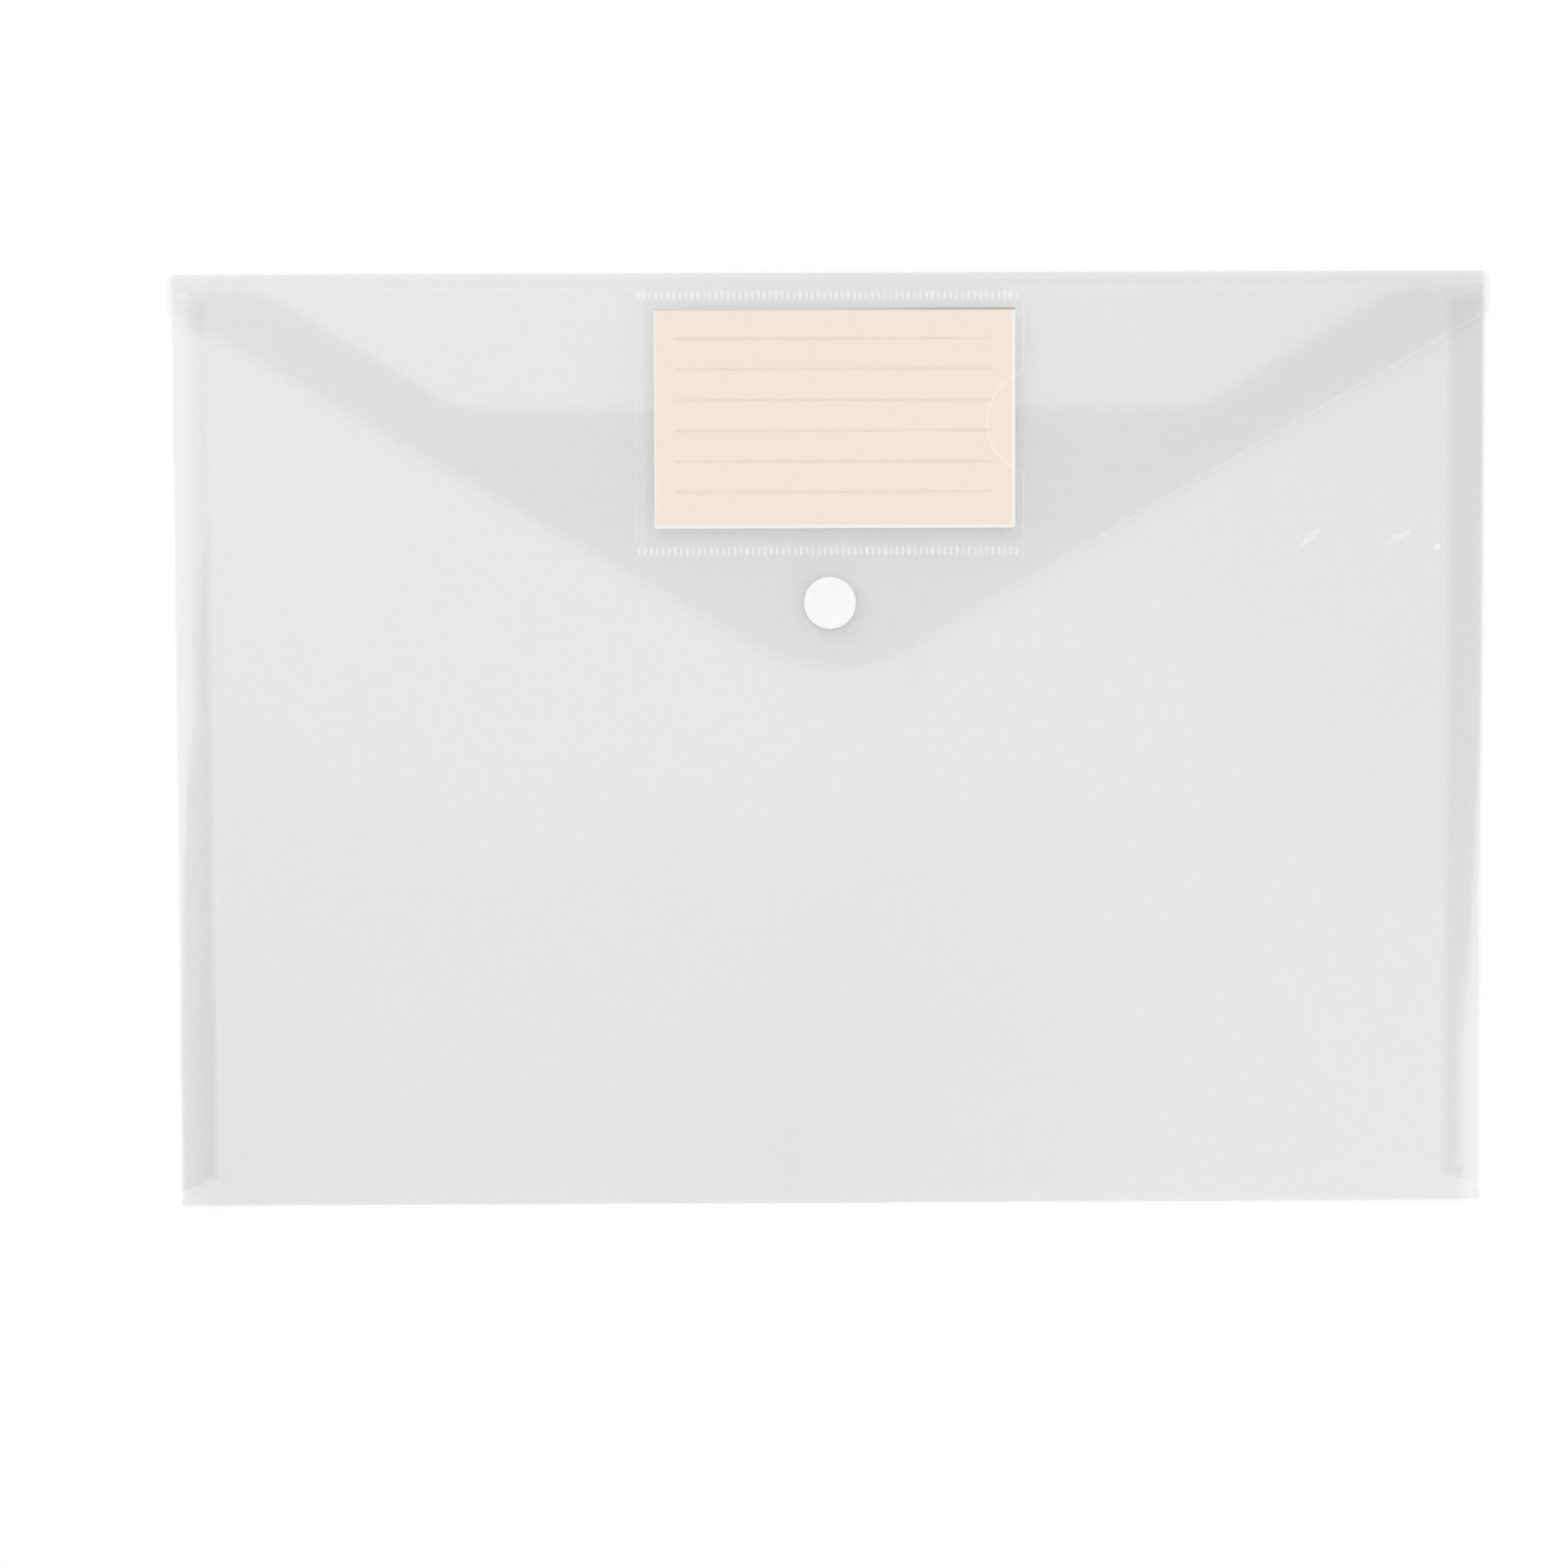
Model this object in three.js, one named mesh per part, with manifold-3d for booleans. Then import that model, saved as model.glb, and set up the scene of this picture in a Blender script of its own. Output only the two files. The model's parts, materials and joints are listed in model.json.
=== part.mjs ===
// A4 document wallet of frosted film, with a snap flap and a label pocket on the flap.
// Millimetres, +Z up. The wallet lies on its rear panel, with its flap closed and its top fold
// towards +Y. The origin is under the middle of the rear panel.
import * as THREE from "three";
import { mergeVertices } from "three/addons/utils/BufferGeometryUtils.js";
import Module from "manifold-3d";

// Wallet sheet: one die-cut film, folded at the bottom, the sides and the top
const WALLET_WIDTH = 330;
const WALLET_HEIGHT = 235;
const SHEET_THICKNESS = 0.2;
const POUCH_DEPTH = 6; // clear space between the rear and front panels
const FLAP_LIFT = 2.2; // space that the snap keeps between the front panel and the flap
const FOLD_STEPS = 10; // flat facets in a quarter turn of film
const TOP_CORNER_RADIUS = 2; // rounding of the top fold's two ends, seen from above

// Mouth of the pouch, cut out of the front panel's top edge
const MOUTH_DROP = 33; // from the top fold's outer line to the straight middle of the edge
const SHOULDER_DROP = 3.1; // from the top fold's outer line to the shoulders beside the mouth
const SHOULDER_WIDTH = 22.7; // from the wallet's side to the mouth's slanted edge
const MOUTH_SLANT_WIDTH = 50; // how far the slanted edge runs in, from the shoulder to the middle
const MOUTH_FILLET = 22;

// Weld tabs: the front panel's sides turn in and are welded to the rear panel
const TAB_WIDTH = 9.1; // from the wallet's side to the tab's inner edge
const TAB_TOP_SLANT = 2.2; // how much lower the tab's top end is at its inner edge
const TAB_BOTTOM_SLANT = 2.6;
const TAB_CLEARANCE = 0.1; // from the tab's top end to the top fold's bend

// Flap, as deep as its label pocket and its snap need
const FLAP_SIDE_DROP = 10.3; // from the top fold's outer line to the end of its straight sides
const FLAP_TIP_RADIUS = 40.6;

// Label pocket of clear film on the flap, open at the right and as large as its card needs
const POCKET_DROP = 0.2; // from the end of the top fold's bend to the pocket's top edge
const POCKET_FILM = 0.15;
const POCKET_CORNER_RADIUS = 1.2;
const POCKET_WELD_HEIGHT = 2.8; // welded strips along its top and bottom
const POCKET_WELD_WIDTH = 2.2; // welded strip along its left
const NOTCH_RADIUS = 13;
const NOTCH_DEPTH = 9.2;

// Label card in the pocket
const CARD_WIDTH = 90.2;
const CARD_HEIGHT = 54.8;
const CARD_THICKNESS = 0.3;
const CARD_PLAY = 0.1; // clearance over and under the card
const CARD_LEFT_GAP = 2.7; // from the pocket's left weld
const CARD_RIGHT_GAP = 2.2; // from the pocket's open side
const CARD_TOP_GAP = 1.8; // from the pocket's top weld
const CARD_BOTTOM_GAP = 4.2; // from the pocket's bottom weld

// Snap: cap and socket on the flap, stud and stud base on the front panel
const SNAP_FROM_TIP = 16.7; // from the flap's tip to the middle of the snap
const SNAP_FROM_POCKET = 5; // from the label pocket to the cap's edge
const CAP_DIAMETER = 13.3;
const CAP_HEIGHT = 1.2;
const CAP_EDGE_RADIUS = 0.35;
const CAP_DISH_DIAMETER = 10.4;
const CAP_DISH_DEPTH = 0.25;
const CAP_DISH_SLOPE = 0.5; // width of the slope round the dish
const POST_DIAMETER = 2.6;
const POST_CLEARANCE = 0.15;
const SOCKET_DIAMETER = 10.6;
const SOCKET_PLATE = 0.45;
const SOCKET_WALL = 1.6;
const STUD_DIAMETER = 11;
const STUD_PLATE = 0.5;
const KNOB_DIAMETER = 4.6;
const KNOB_EDGE_RADIUS = 0.3;
const SNAP_CLEARANCE = 0.3; // around the knob and under the socket
const BASE_DIAMETER = 11;
const BASE_HEIGHT = 0.8;
const BASE_EDGE_RADIUS = 0.4;
const ROUND_STEPS = 48; // facets round the snap's pieces
const EDGE_STEPS = 4; // facets in a rounded edge of the snap
const CORNER_STEPS = 6; // facets in a rounded corner of the film
const TIP_STEPS = 24; // facets round the flap's tip
const CUT_MARGIN = 1; // how far a cut runs past what it cuts

// Levels of the stacked film
const rearTop = SHEET_THICKNESS;
const frontBottom = rearTop + POUCH_DEPTH;
const frontTop = frontBottom + SHEET_THICKNESS;
const flapBottom = frontTop + FLAP_LIFT;
const flapTop = flapBottom + SHEET_THICKNESS;

// Outlines
const halfWidth = WALLET_WIDTH / 2;
const halfHeight = WALLET_HEIGHT / 2;
const topFoldRadius = flapTop / 2;
const bottomFoldRadius = frontTop / 2;
const sideFoldRadius = (frontTop - rearTop) / 2;
const topFoldStart = halfHeight - topFoldRadius;
const bottomFoldStart = -halfHeight + bottomFoldRadius;
const sideFoldStart = halfWidth - sideFoldRadius;
const shoulderY = halfHeight - SHOULDER_DROP;

// The card sets the pocket's size, and the pocket and the snap set the flap's depth
const pocketWidth = POCKET_WELD_WIDTH + CARD_LEFT_GAP + CARD_WIDTH + CARD_RIGHT_GAP;
const slotHeight = CARD_TOP_GAP + CARD_HEIGHT + CARD_BOTTOM_GAP;
const pocketTop = topFoldStart - POCKET_DROP;
const pocketBottom = pocketTop - slotHeight - 2 * POCKET_WELD_HEIGHT;
const pocketLeft = -pocketWidth / 2;
const pocketRight = pocketWidth / 2;
const slotLeft = pocketLeft + POCKET_WELD_WIDTH;
const slotTop = pocketTop - POCKET_WELD_HEIGHT;
const slotBottom = pocketBottom + POCKET_WELD_HEIGHT;
const slotCeiling = flapTop + CARD_THICKNESS + 2 * CARD_PLAY;
const snapY = pocketBottom - SNAP_FROM_POCKET - CAP_DIAMETER / 2;
const flapTipY = snapY - SNAP_FROM_TIP;

const wasm = await Module();
wasm.setup();

// A three.js geometry as a solid that can be cut
function solidOf(geometry) {
  const bare = geometry.index ? geometry.toNonIndexed() : geometry.clone();
  bare.deleteAttribute("normal");
  bare.deleteAttribute("uv");
  const merged = mergeVertices(bare, 1e-4);
  return new wasm.Manifold(
    new wasm.Mesh({
      numProp: 3,
      vertProperties: merged.attributes.position.array,
      triVerts: new Uint32Array(merged.index.array),
    }),
  );
}

function geometryOf(solid) {
  const mesh = solid.getMesh();
  const geometry = new THREE.BufferGeometry();
  geometry.setAttribute("position", new THREE.BufferAttribute(mesh.vertProperties, 3));
  geometry.setIndex(new THREE.BufferAttribute(mesh.triVerts, 1));
  geometry.computeVertexNormals();
  return geometry;
}

// A flat outline in X and Y, from one height to another
function slab(shape, bottom, top, curveSegments = CORNER_STEPS) {
  const geometry = new THREE.ExtrudeGeometry(shape, {
    depth: top - bottom,
    bevelEnabled: false,
    curveSegments,
  });
  return geometry.translate(0, 0, bottom);
}

function rectangle(left, right, bottom, top) {
  const shape = new THREE.Shape();
  shape.moveTo(left, bottom);
  shape.lineTo(right, bottom);
  shape.lineTo(right, top);
  shape.lineTo(left, top);
  shape.closePath();
  return shape;
}

// A closed outline with round corners: each corner is [x, y, radius], anticlockwise
function roundedOutline(corners) {
  const shape = new THREE.Shape();
  corners.forEach(([x, y, radius], i) => {
    const corner = new THREE.Vector2(x, y);
    const before = new THREE.Vector2(...corners.at(i - 1)).sub(corner).normalize();
    const after = new THREE.Vector2(...corners[(i + 1) % corners.length]).sub(corner).normalize();
    const halfAngle = Math.acos(before.dot(after)) / 2;
    const reach = radius / Math.tan(halfAngle);
    const start = before.clone().multiplyScalar(reach).add(corner);
    if (i === 0) shape.moveTo(start.x, start.y);
    else shape.lineTo(start.x, start.y);
    if (radius === 0) return;
    const middle = before.clone().add(after).normalize();
    middle.multiplyScalar(radius / Math.sin(halfAngle)).add(corner);
    const end = after.clone().multiplyScalar(reach).add(corner);
    const turnsLeft = before.cross(after) < 0;
    const from = Math.atan2(start.y - middle.y, start.x - middle.x);
    const to = Math.atan2(end.y - middle.y, end.x - middle.x);
    shape.absarc(middle.x, middle.y, radius, from, to, !turnsLeft);
  });
  shape.closePath();
  return shape;
}

// One face of bent film: an arc from one angle to another, in quarter turns from the first axis of
// the profile's plane towards +Z
function bendPoints(centre, centreZ, radius, fromQuarter, toQuarter) {
  return Array.from({ length: FOLD_STEPS * (toQuarter - fromQuarter) + 1 }, (_, i) => {
    const angle = (fromQuarter + i / FOLD_STEPS) * (Math.PI / 2);
    return [centre + radius * Math.cos(angle), centreZ + radius * Math.sin(angle)];
  });
}

// A profile that is closed round its outer and its inner face
function profileOf(outer, inner) {
  const points = [...outer, ...inner.toReversed()];
  return new THREE.Shape(points.map(([across, up]) => new THREE.Vector2(across, up)));
}

// A bend with its axis along X, over the wallet's whole width
function bendAcross(centreY, radius, fromQuarter, toQuarter) {
  const outer = bendPoints(centreY, radius, radius, fromQuarter, toQuarter);
  const inner = bendPoints(centreY, radius, radius - SHEET_THICKNESS, fromQuarter, toQuarter);
  const geometry = new THREE.ExtrudeGeometry(profileOf(outer, inner), {
    depth: WALLET_WIDTH,
    bevelEnabled: false,
  });
  geometry.rotateX(Math.PI / 2).rotateZ(Math.PI / 2);
  return geometry.translate(-halfWidth, 0, 0);
}

// A round cut through film that lies between two heights
function roundCut(x, y, radius, bottom, top) {
  const height = top - bottom + 2 * CUT_MARGIN;
  const geometry = new THREE.CylinderGeometry(radius, radius, height, ROUND_STEPS);
  return solidOf(geometry.rotateX(Math.PI / 2).translate(x, y, (top + bottom) / 2));
}

function postHole(bottom, top) {
  return roundCut(0, snapY, POST_DIAMETER / 2 + POST_CLEARANCE, bottom, top);
}

// Points of a rounded edge: a quarter circle about a centre, from one angle on
function edgePoints(centreR, centreZ, radius, fromAngle) {
  return Array.from({ length: EDGE_STEPS + 1 }, (_, i) => {
    const angle = fromAngle + (i / EDGE_STEPS) * (Math.PI / 2);
    return [centreR + radius * Math.cos(angle), centreZ + radius * Math.sin(angle)];
  });
}

// A turned piece about the snap's axis, from its profile of [radius, height] points
function turned(profile) {
  const points = profile.map(([r, z]) => new THREE.Vector2(r, z));
  const geometry = new THREE.LatheGeometry(points, ROUND_STEPS);
  return geometry.rotateX(Math.PI / 2).translate(0, snapY, 0);
}

function rearPanel() {
  return slab(rectangle(-halfWidth, halfWidth, bottomFoldStart, topFoldStart), 0, rearTop);
}

function bottomFold() {
  return bendAcross(bottomFoldStart, bottomFoldRadius, 1, 3);
}

// Both halves of the top fold are trimmed by the same round corners
function topFoldHalf(fromQuarter) {
  const bend = bendAcross(topFoldStart, topFoldRadius, fromQuarter, fromQuarter + 1);
  const plan = roundedOutline([
    [-halfWidth, -halfHeight, 0],
    [halfWidth, -halfHeight, 0],
    [halfWidth, halfHeight, TOP_CORNER_RADIUS],
    [-halfWidth, halfHeight, TOP_CORNER_RADIUS],
  ]);
  const column = slab(plan, -CUT_MARGIN, flapTop + CUT_MARGIN);
  return geometryOf(solidOf(bend).intersect(solidOf(column)));
}

function frontPanel() {
  const mouthTopX = halfWidth - SHOULDER_WIDTH;
  const mouthFloorX = mouthTopX - MOUTH_SLANT_WIDTH;
  const mouthFloorY = halfHeight - MOUTH_DROP;
  const outline = roundedOutline([
    [-sideFoldStart, bottomFoldStart, 0],
    [sideFoldStart, bottomFoldStart, 0],
    [sideFoldStart, shoulderY, 0],
    [mouthTopX, shoulderY, MOUTH_FILLET],
    [mouthFloorX, mouthFloorY, MOUTH_FILLET],
    [-mouthFloorX, mouthFloorY, MOUTH_FILLET],
    [-mouthTopX, shoulderY, MOUTH_FILLET],
    [-sideFoldStart, shoulderY, 0],
  ]);
  const panel = solidOf(slab(outline, frontBottom, frontTop));
  return geometryOf(panel.subtract(postHole(frontBottom, frontTop)));
}

// Cuts a side's fold and tab on a slant at each end, up to the middle height of the fold. side is 1
// for the right and -1 for the left.
function slantedEnds(side, geometry) {
  const tabInner = halfWidth - TAB_WIDTH;
  const slantCut = (outerY, innerY, farY) => {
    const corners = [
      [halfWidth + CUT_MARGIN, outerY],
      [halfWidth, outerY],
      [tabInner, innerY],
      [tabInner - CUT_MARGIN, innerY],
      [tabInner - CUT_MARGIN, farY],
      [halfWidth + CUT_MARGIN, farY],
    ];
    const outline = new THREE.Shape(corners.map(([x, y]) => new THREE.Vector2(side * x, y)));
    return solidOf(slab(outline, 0, rearTop + sideFoldRadius));
  };
  const topEnd = topFoldStart - TAB_CLEARANCE;
  const topCut = slantCut(topEnd, topEnd - TAB_TOP_SLANT, halfHeight);
  const bottomCut = slantCut(bottomFoldStart, bottomFoldStart + TAB_BOTTOM_SLANT, -halfHeight);
  return geometryOf(solidOf(geometry).subtract(topCut).subtract(bottomCut));
}

// The side fold turns the front panel's side under, on to the rear panel
function sideFold(side) {
  const face = (radius) =>
    bendPoints(sideFoldStart, rearTop + sideFoldRadius, radius, -1, 1).map(([x, z]) => [side * x, z]);
  const profile = profileOf(face(sideFoldRadius), face(sideFoldRadius - SHEET_THICKNESS));
  const length = shoulderY - bottomFoldStart;
  const bend = new THREE.ExtrudeGeometry(profile, { depth: length, bevelEnabled: false });
  return slantedEnds(side, bend.rotateX(Math.PI / 2).translate(0, shoulderY, 0));
}

// The weld tab carries the side fold on along the rear panel, which it is welded to
function weldTab(side) {
  const ends = [side * (halfWidth - TAB_WIDTH), side * sideFoldStart].toSorted((a, b) => a - b);
  const outline = rectangle(...ends, bottomFoldStart, topFoldStart);
  return slantedEnds(side, slab(outline, rearTop, rearTop + SHEET_THICKNESS));
}

function flapPanel() {
  const sideY = halfHeight - FLAP_SIDE_DROP;
  const tipCentreY = flapTipY + FLAP_TIP_RADIUS;
  // The slanted edge runs from the side's end and touches the tip's circle
  const fall = sideY - tipCentreY;
  const reach = Math.hypot(halfWidth, fall);
  const slope = Math.atan2(fall, halfWidth) + Math.asin(FLAP_TIP_RADIUS / reach);
  const outline = new THREE.Shape();
  outline.moveTo(-halfWidth, topFoldStart);
  outline.lineTo(-halfWidth, sideY);
  outline.absarc(0, tipCentreY, FLAP_TIP_RADIUS, -Math.PI / 2 - slope, -Math.PI / 2 + slope, false);
  outline.lineTo(halfWidth, sideY);
  outline.lineTo(halfWidth, topFoldStart);
  outline.closePath();
  const panel = solidOf(slab(outline, flapBottom, flapTop, TIP_STEPS));
  return geometryOf(panel.subtract(postHole(flapBottom, flapTop)));
}

// Film welded flat along three sides and raised over the card, with a thumb notch at its open side
function labelPocket() {
  const weldTop = flapTop + POCKET_FILM;
  const outline = roundedOutline([
    [pocketLeft, pocketBottom, POCKET_CORNER_RADIUS],
    [pocketRight, pocketBottom, POCKET_CORNER_RADIUS],
    [pocketRight, pocketTop, POCKET_CORNER_RADIUS],
    [pocketLeft, pocketTop, POCKET_CORNER_RADIUS],
  ]);
  const raised = rectangle(
    slotLeft - POCKET_FILM,
    pocketRight,
    slotBottom - POCKET_FILM,
    slotTop + POCKET_FILM,
  );
  const slot = rectangle(slotLeft, pocketRight + CUT_MARGIN, slotBottom, slotTop);
  const notchX = pocketRight - NOTCH_DEPTH + NOTCH_RADIUS;
  const notchY = (pocketTop + pocketBottom) / 2;
  return geometryOf(
    solidOf(slab(outline, flapTop, weldTop))
      .add(solidOf(slab(raised, flapTop, slotCeiling + POCKET_FILM)))
      .subtract(solidOf(slab(slot, flapTop - CUT_MARGIN, slotCeiling)))
      .subtract(roundCut(notchX, notchY, NOTCH_RADIUS, flapTop, slotCeiling + POCKET_FILM)),
  );
}

function labelCard() {
  const left = slotLeft + CARD_LEFT_GAP;
  const top = slotTop - CARD_TOP_GAP;
  const bottom = flapTop + CARD_PLAY;
  const outline = rectangle(left, left + CARD_WIDTH, top - CARD_HEIGHT, top);
  return slab(outline, bottom, bottom + CARD_THICKNESS);
}

// Round disc with a dished top, and a post that goes down through the flap and the socket's plate
function snapCap() {
  const top = flapTop + CAP_HEIGHT;
  const rim = CAP_DIAMETER / 2;
  const dish = CAP_DISH_DIAMETER / 2;
  return turned([
    [0, flapBottom - SOCKET_PLATE],
    [POST_DIAMETER / 2, flapBottom - SOCKET_PLATE],
    [POST_DIAMETER / 2, flapTop],
    [rim, flapTop],
    ...edgePoints(rim - CAP_EDGE_RADIUS, top - CAP_EDGE_RADIUS, CAP_EDGE_RADIUS, 0),
    [dish, top],
    [dish - CAP_DISH_SLOPE, top - CAP_DISH_DEPTH],
    [0, top - CAP_DISH_DEPTH],
  ]);
}

// Plate against the flap's underside, with a ring that grips the stud's knob
function snapSocket() {
  const bottom = frontTop + STUD_PLATE + SNAP_CLEARANCE;
  const plateBottom = flapBottom - SOCKET_PLATE;
  const hole = POST_DIAMETER / 2 + POST_CLEARANCE;
  const cavity = KNOB_DIAMETER / 2 + SNAP_CLEARANCE;
  return turned([
    [hole, plateBottom],
    [cavity, plateBottom],
    [cavity, bottom],
    [cavity + SOCKET_WALL, bottom],
    [cavity + SOCKET_WALL, plateBottom],
    [SOCKET_DIAMETER / 2, plateBottom],
    [SOCKET_DIAMETER / 2, flapBottom],
    [hole, flapBottom],
    [hole, plateBottom],
  ]);
}

// Plate on the front panel with the knob that the socket snaps over, bored for the base's post
function snapStud() {
  const plateTop = frontTop + STUD_PLATE;
  const knobTop = flapBottom - SOCKET_PLATE - SNAP_CLEARANCE;
  const knob = KNOB_DIAMETER / 2;
  const hole = POST_DIAMETER / 2 + POST_CLEARANCE;
  return turned([
    [hole, frontTop],
    [STUD_DIAMETER / 2, frontTop],
    [STUD_DIAMETER / 2, plateTop],
    [knob, plateTop],
    ...edgePoints(knob - KNOB_EDGE_RADIUS, knobTop - KNOB_EDGE_RADIUS, KNOB_EDGE_RADIUS, 0),
    [hole, knobTop],
    [hole, frontTop],
  ]);
}

// Round disc inside the pouch, with a post that goes up through the front panel and the stud
function snapStudBase() {
  const bottom = frontBottom - BASE_HEIGHT;
  const knobTop = flapBottom - SOCKET_PLATE - SNAP_CLEARANCE;
  const rim = BASE_DIAMETER / 2;
  return turned([
    [0, bottom],
    ...edgePoints(rim - BASE_EDGE_RADIUS, bottom + BASE_EDGE_RADIUS, BASE_EDGE_RADIUS, -Math.PI / 2),
    [rim, frontBottom],
    [POST_DIAMETER / 2, frontBottom],
    [POST_DIAMETER / 2, knobTop],
    [0, knobTop],
  ]);
}

const film = () =>
  new THREE.MeshStandardMaterial({
    color: 0xe6e6e6,
    roughness: 0.45,
    metalness: 0,
    transparent: true,
    opacity: 0.35,
  });
const clearFilm = () =>
  new THREE.MeshStandardMaterial({
    color: 0xf2f2f2,
    roughness: 0.2,
    metalness: 0,
    transparent: true,
    opacity: 0.25,
  });
const paper = () => new THREE.MeshStandardMaterial({ color: 0xf6e6dc, roughness: 0.9, metalness: 0 });
const whitePlastic = () =>
  new THREE.MeshStandardMaterial({ color: 0xfafafa, roughness: 0.35, metalness: 0 });

function piece(name, geometry, material) {
  const mesh = new THREE.Mesh(geometry, material);
  mesh.name = name;
  return mesh;
}

const pouch = new THREE.Group();
pouch.add(
  piece("rear_panel", rearPanel(), film()),
  piece("bottom_fold", bottomFold(), film()),
  piece("front_panel", frontPanel(), film()),
  piece("left_side_fold", sideFold(-1), film()),
  piece("right_side_fold", sideFold(1), film()),
  piece("left_weld_tab", weldTab(-1), film()),
  piece("right_weld_tab", weldTab(1), film()),
  piece("top_fold_rear", topFoldHalf(-1), film()),
  piece("snap_stud", snapStud(), whitePlastic()),
  piece("snap_stud_base", snapStudBase(), whitePlastic()),
);

const flap = new THREE.Group();
flap.add(
  piece("top_fold_flap", topFoldHalf(0), film()),
  piece("flap_panel", flapPanel(), film()),
  piece("snap_cap", snapCap(), whitePlastic()),
  piece("snap_socket", snapSocket(), whitePlastic()),
  piece("label_pocket", labelPocket(), clearFilm()),
  piece("label_card", labelCard(), paper()),
);

const wallet = new THREE.Group();
wallet.add(pouch, flap);

export default wallet;
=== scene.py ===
"""Looks of the snap wallet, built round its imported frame. Sizes are in millimetres unless said otherwise,
and meshes are in metres. The wallet lies on its rear panel, with its top fold towards +Y."""

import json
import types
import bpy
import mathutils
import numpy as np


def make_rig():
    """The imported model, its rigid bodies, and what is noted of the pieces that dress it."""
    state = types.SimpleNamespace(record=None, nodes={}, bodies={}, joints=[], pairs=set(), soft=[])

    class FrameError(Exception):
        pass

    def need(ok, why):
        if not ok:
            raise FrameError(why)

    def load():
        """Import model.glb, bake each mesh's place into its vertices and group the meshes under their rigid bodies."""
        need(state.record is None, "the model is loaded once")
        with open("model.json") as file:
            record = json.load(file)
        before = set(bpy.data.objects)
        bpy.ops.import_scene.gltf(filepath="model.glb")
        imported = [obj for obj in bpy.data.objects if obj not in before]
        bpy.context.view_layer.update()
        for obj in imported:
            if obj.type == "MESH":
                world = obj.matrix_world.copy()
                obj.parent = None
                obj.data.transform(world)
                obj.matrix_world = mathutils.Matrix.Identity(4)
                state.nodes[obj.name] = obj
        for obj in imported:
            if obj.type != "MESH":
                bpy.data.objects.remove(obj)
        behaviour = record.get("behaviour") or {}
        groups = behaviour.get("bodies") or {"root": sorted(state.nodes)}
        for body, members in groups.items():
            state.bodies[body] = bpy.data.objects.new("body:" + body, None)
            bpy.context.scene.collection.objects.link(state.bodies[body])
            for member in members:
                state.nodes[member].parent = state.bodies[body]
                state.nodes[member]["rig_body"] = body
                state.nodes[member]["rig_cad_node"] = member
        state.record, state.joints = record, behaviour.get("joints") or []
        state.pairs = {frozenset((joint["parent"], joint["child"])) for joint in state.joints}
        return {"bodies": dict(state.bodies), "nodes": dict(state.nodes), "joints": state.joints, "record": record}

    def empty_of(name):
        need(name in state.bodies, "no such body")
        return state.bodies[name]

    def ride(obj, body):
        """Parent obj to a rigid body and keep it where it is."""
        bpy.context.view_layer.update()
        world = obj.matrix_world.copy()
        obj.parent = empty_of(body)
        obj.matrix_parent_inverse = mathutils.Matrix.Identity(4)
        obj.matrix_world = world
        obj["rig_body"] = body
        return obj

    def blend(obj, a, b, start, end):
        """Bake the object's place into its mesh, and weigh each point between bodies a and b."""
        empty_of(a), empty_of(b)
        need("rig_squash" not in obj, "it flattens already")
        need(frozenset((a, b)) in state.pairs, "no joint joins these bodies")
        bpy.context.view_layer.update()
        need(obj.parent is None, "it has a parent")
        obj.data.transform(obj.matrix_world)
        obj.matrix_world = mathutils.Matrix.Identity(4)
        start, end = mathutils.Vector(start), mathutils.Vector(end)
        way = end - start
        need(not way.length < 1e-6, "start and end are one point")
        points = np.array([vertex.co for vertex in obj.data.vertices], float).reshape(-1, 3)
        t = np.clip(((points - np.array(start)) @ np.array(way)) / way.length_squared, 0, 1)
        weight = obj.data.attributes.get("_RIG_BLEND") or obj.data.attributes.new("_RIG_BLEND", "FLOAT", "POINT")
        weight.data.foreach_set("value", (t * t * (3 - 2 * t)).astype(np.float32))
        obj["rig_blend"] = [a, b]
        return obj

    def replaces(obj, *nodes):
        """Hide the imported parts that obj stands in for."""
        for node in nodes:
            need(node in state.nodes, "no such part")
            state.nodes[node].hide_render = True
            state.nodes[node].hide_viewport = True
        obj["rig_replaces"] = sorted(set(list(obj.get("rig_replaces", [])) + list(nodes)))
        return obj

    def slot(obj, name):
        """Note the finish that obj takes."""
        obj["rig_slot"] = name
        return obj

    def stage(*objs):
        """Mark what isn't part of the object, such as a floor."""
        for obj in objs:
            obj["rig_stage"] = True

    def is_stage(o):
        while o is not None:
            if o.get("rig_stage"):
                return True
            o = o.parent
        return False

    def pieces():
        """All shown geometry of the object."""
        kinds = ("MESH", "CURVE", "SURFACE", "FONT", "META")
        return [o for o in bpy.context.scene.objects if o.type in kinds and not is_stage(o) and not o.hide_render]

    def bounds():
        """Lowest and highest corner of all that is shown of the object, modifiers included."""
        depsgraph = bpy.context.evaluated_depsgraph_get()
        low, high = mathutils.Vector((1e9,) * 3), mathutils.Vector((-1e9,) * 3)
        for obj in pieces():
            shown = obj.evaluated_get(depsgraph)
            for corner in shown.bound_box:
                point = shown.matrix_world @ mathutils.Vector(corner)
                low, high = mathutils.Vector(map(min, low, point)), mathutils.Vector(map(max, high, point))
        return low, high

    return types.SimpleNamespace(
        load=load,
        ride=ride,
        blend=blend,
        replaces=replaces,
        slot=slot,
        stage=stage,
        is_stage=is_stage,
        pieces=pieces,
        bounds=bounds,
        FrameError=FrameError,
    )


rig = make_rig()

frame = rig.load()

import json
import math

import bpy
import numpy as np
from mathutils import Matrix, Vector, geometry

cad_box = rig.bounds()

MM = 0.001

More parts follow.
